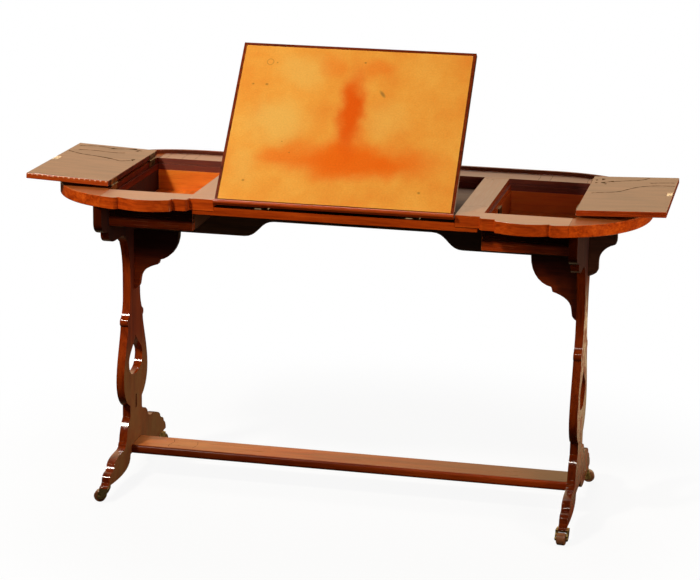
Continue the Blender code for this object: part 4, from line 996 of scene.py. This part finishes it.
def floor_material(name):
    """White for the camera but for the shadow, darker for bounced light, and cream in reflections."""
    made = bpy.data.materials.new(name)
    made.use_nodes = True
    tree = made.node_tree
    net = Nodes(tree)
    tree.nodes.remove(tree.nodes["Principled BSDF"])
    path = net.add("ShaderNodeLightPath").outputs
    place = net.add("ShaderNodeTexCoord").outputs["Object"]
    at = net.parts(place)
    depth = at["Y"]
    bounce = net.mix(1.0, FLOOR_BOUNCE, net.between(depth, -0.5, 0.8, 0.06, 0.22), "MULTIPLY")
    plain = net.add("ShaderNodeBsdfDiffuse", {0: bounce}).outputs[0]
    white = net.add("ShaderNodeBsdfDiffuse", {0: colour(FLOOR_WHITE)}).outputs[0]
    glow = net.add("ShaderNodeEmission", {0: colour(WHITE), 1: 1.0}).outputs[0]
    pale = net.choose(net.between(net.length(place), *SHADOW_REACH, SHADOW_WHITENESS, 1.0), white, glow)
    near = net.product(net.between(depth, -0.2, 0.2), net.between(depth, 0.8, 1.0, 1.0, 0.03))
    behind = net.product(net.between(depth, 0.15, 0.35), net.between(depth, 1.6, 2.2, 1.0, 0.0))
    right = net.product(net.between(at["X"], 0.55, 0.75), behind)
    bright = net.math("ADD", net.product(near, MIRRORED_NEAR), net.product(right, MIRRORED_RIGHT))
    cream = net.add("ShaderNodeEmission", {0: colour(FLOOR_MIRRORED), 1: bright}).outputs[0]
    unseen = net.choose(path["Is Glossy Ray"], plain, cream)
    seen = net.choose(path["Is Camera Ray"], unseen, pale)
    net.set(tree.nodes["Material Output"].inputs[0], seen)
    return made


def make_floor():
    """A pale disc that fades to the white background, with the object's soft shadow near its feet."""
    shape = bmesh.new()
    bmesh.ops.create_circle(shape, cap_ends=True, segments=FLOOR_SEGMENTS, radius=FLOOR_RADIUS)
    mesh = bpy.data.meshes.new("floor")
    shape.to_mesh(mesh)
    shape.free()
    mesh.materials.append(floor_material("pale_floor"))
    floor = bpy.data.objects.new("floor", mesh)
    bpy.context.scene.collection.objects.link(floor)
    floor.location = (0.0, 0.0, -FLOOR_DROP)


def dress_flap(under_shade):
    """The flap with its prop and rack, and the well and the rail under it."""
    dress("flap_board", shaded_board("flap_border", FLAP_FOOT_HEIGHTS, 0.45), width=0.0008)
    dress("flap_nosing", Wood("nosing", MAHOGANY, "X", 0.2, 1.9).finish(0.5), width=0.0008)
    dress("flap_leather", leather("tan_leather"), width=0.0003)
    dress("prop", Wood("prop_wood", EDGE, "Y", 0.4, 0.2).finish(0.0))
    dress("ratchet_rack", under_shade, width=0.0003)
    dress("well_floor", well_board("well_floor"))
    dress("centre_front_rail", rail_board("front_rail"), width=0.0012)


def dress_top(worn_glint):
    """The top's frame, its gallery and the lids."""
    gallery = Wood("gallery", SHADOWED, "X", 0.45).finish(0.0, 0.25)
    dress("back_gallery", gallery, worn_glint_edge("worn_glint_gallery"), width=0.0008)
    # The back rail's flat face is painted pale tan as sheen
    dress("top_back_rail", top_board("top_back", "X", 0.0, BACK_RAIL_SHEEN, 0.55), **TOP_ARRIS)
    ends = top_board("top_end", "Y", 0.3, AMBER, 0.38, 0.2)
    fronts = top_board("top_front", "X", 0.5)
    cross = top_board("top_cross", "Y", 0.8)
    for side in SIDES:
        dress("top_end_" + side, ends, **TOP_ARRIS)
        dress("top_front_" + side, fronts, **TOP_ARRIS)
        dress("cross_rail_" + side, cross, **TOP_ARRIS)
        dress("lid_" + side, lid_board("lid_board_" + side, side == "left"), worn_glint, width=0.0006)


def dress_under(worn_glint, under_shade):
    """The boxes, the spine rail with its brackets, the trestles and the stretcher."""
    # The box fronts are painted dark above their lower strip: the top's cast shadow painted on
    front = shaded_board("box_front", BOX_FRONT_SHADOW_HEIGHTS, 0.10, 0.25, 0.2)
    inside_x = lining_board("lining_x", "X", 1.1)
    inside_y = lining_board("lining_y", "Y", 0.9)
    # The outer brackets are painted near black as shade under the top's ends
    outer_bracket_shade = Wood("outer_brackets", OUTER_BRACKET_SHADE, "X", 0.45).finish(0.0, 0.3)
    trestle = trestle_board("trestle_board")
    dress("spine_rail", under_shade)
    dress("stretcher", stretcher_board("stretcher_board"), worn_glint)
    for side in SIDES:
        bracket = "inner_bracket_" + side
        dress("box_front_" + side, front, worn_glint)
        dress("box_back_" + side, inside_x)
        dress("box_side_" + side, inside_y)
        dress("box_bottom_" + side, inside_y)
        # The inner brackets are painted darker towards the top: painted shade
        dress(bracket, shaded_board(bracket, BRACKET_SHADE_HEIGHTS[side], BRACKET_SHADE_SHARES[side], 0.35, 0.1))
        dress("outer_bracket_" + side, outer_bracket_shade)
        dress("trestle_" + side, trestle, width=0.0014)


def dress_metal(metal, dull, pale):
    """All brass nodes, by the kind of fitting they belong to, and the casters' rollers."""
    finishes = {"strike": pale, "lock": dull, "lid": dull, "flap": dull}
    roller = Wood("roller", ROSEWOOD, "X", 0.3).finish(0.2)
    for part in frame["record"]["subparts"]:
        if part["material_slot"] == "brass":
            kind = part["node"].split("_")[0]
            dress(part["node"], finishes.get(kind, metal), width=0.0003)
        if part["material_slot"] == "roller":
            dress(part["node"], roller, width=0.0005)


def main():
    make_camera()
    make_world()
    make_floor()
    for name, lamp in LAMPS.items():
        add_lamp(name, *lamp)
    worn_glint = worn_glint_edge("worn_glint_x")
    # Near black brown for the parts deep under the top: painted shade
    under_shade = Wood("under_parts", UMBER, "X", 0.35).finish(0.2)
    dress_flap(under_shade)
    dress_top(worn_glint)
    dress_under(worn_glint, under_shade)
    metal = brass("aged_brass", AGED_BRASS)
    dull = brass("dull_brass", DULL_BRASS)
    pale = brass("rubbed_brass", RUBBED_BRASS)
    make_lines()
    make_hardware(metal, dull, pale)
    dress_metal(metal, dull, pale)
    bpy.context.scene.view_settings.view_transform = "Standard"


main()
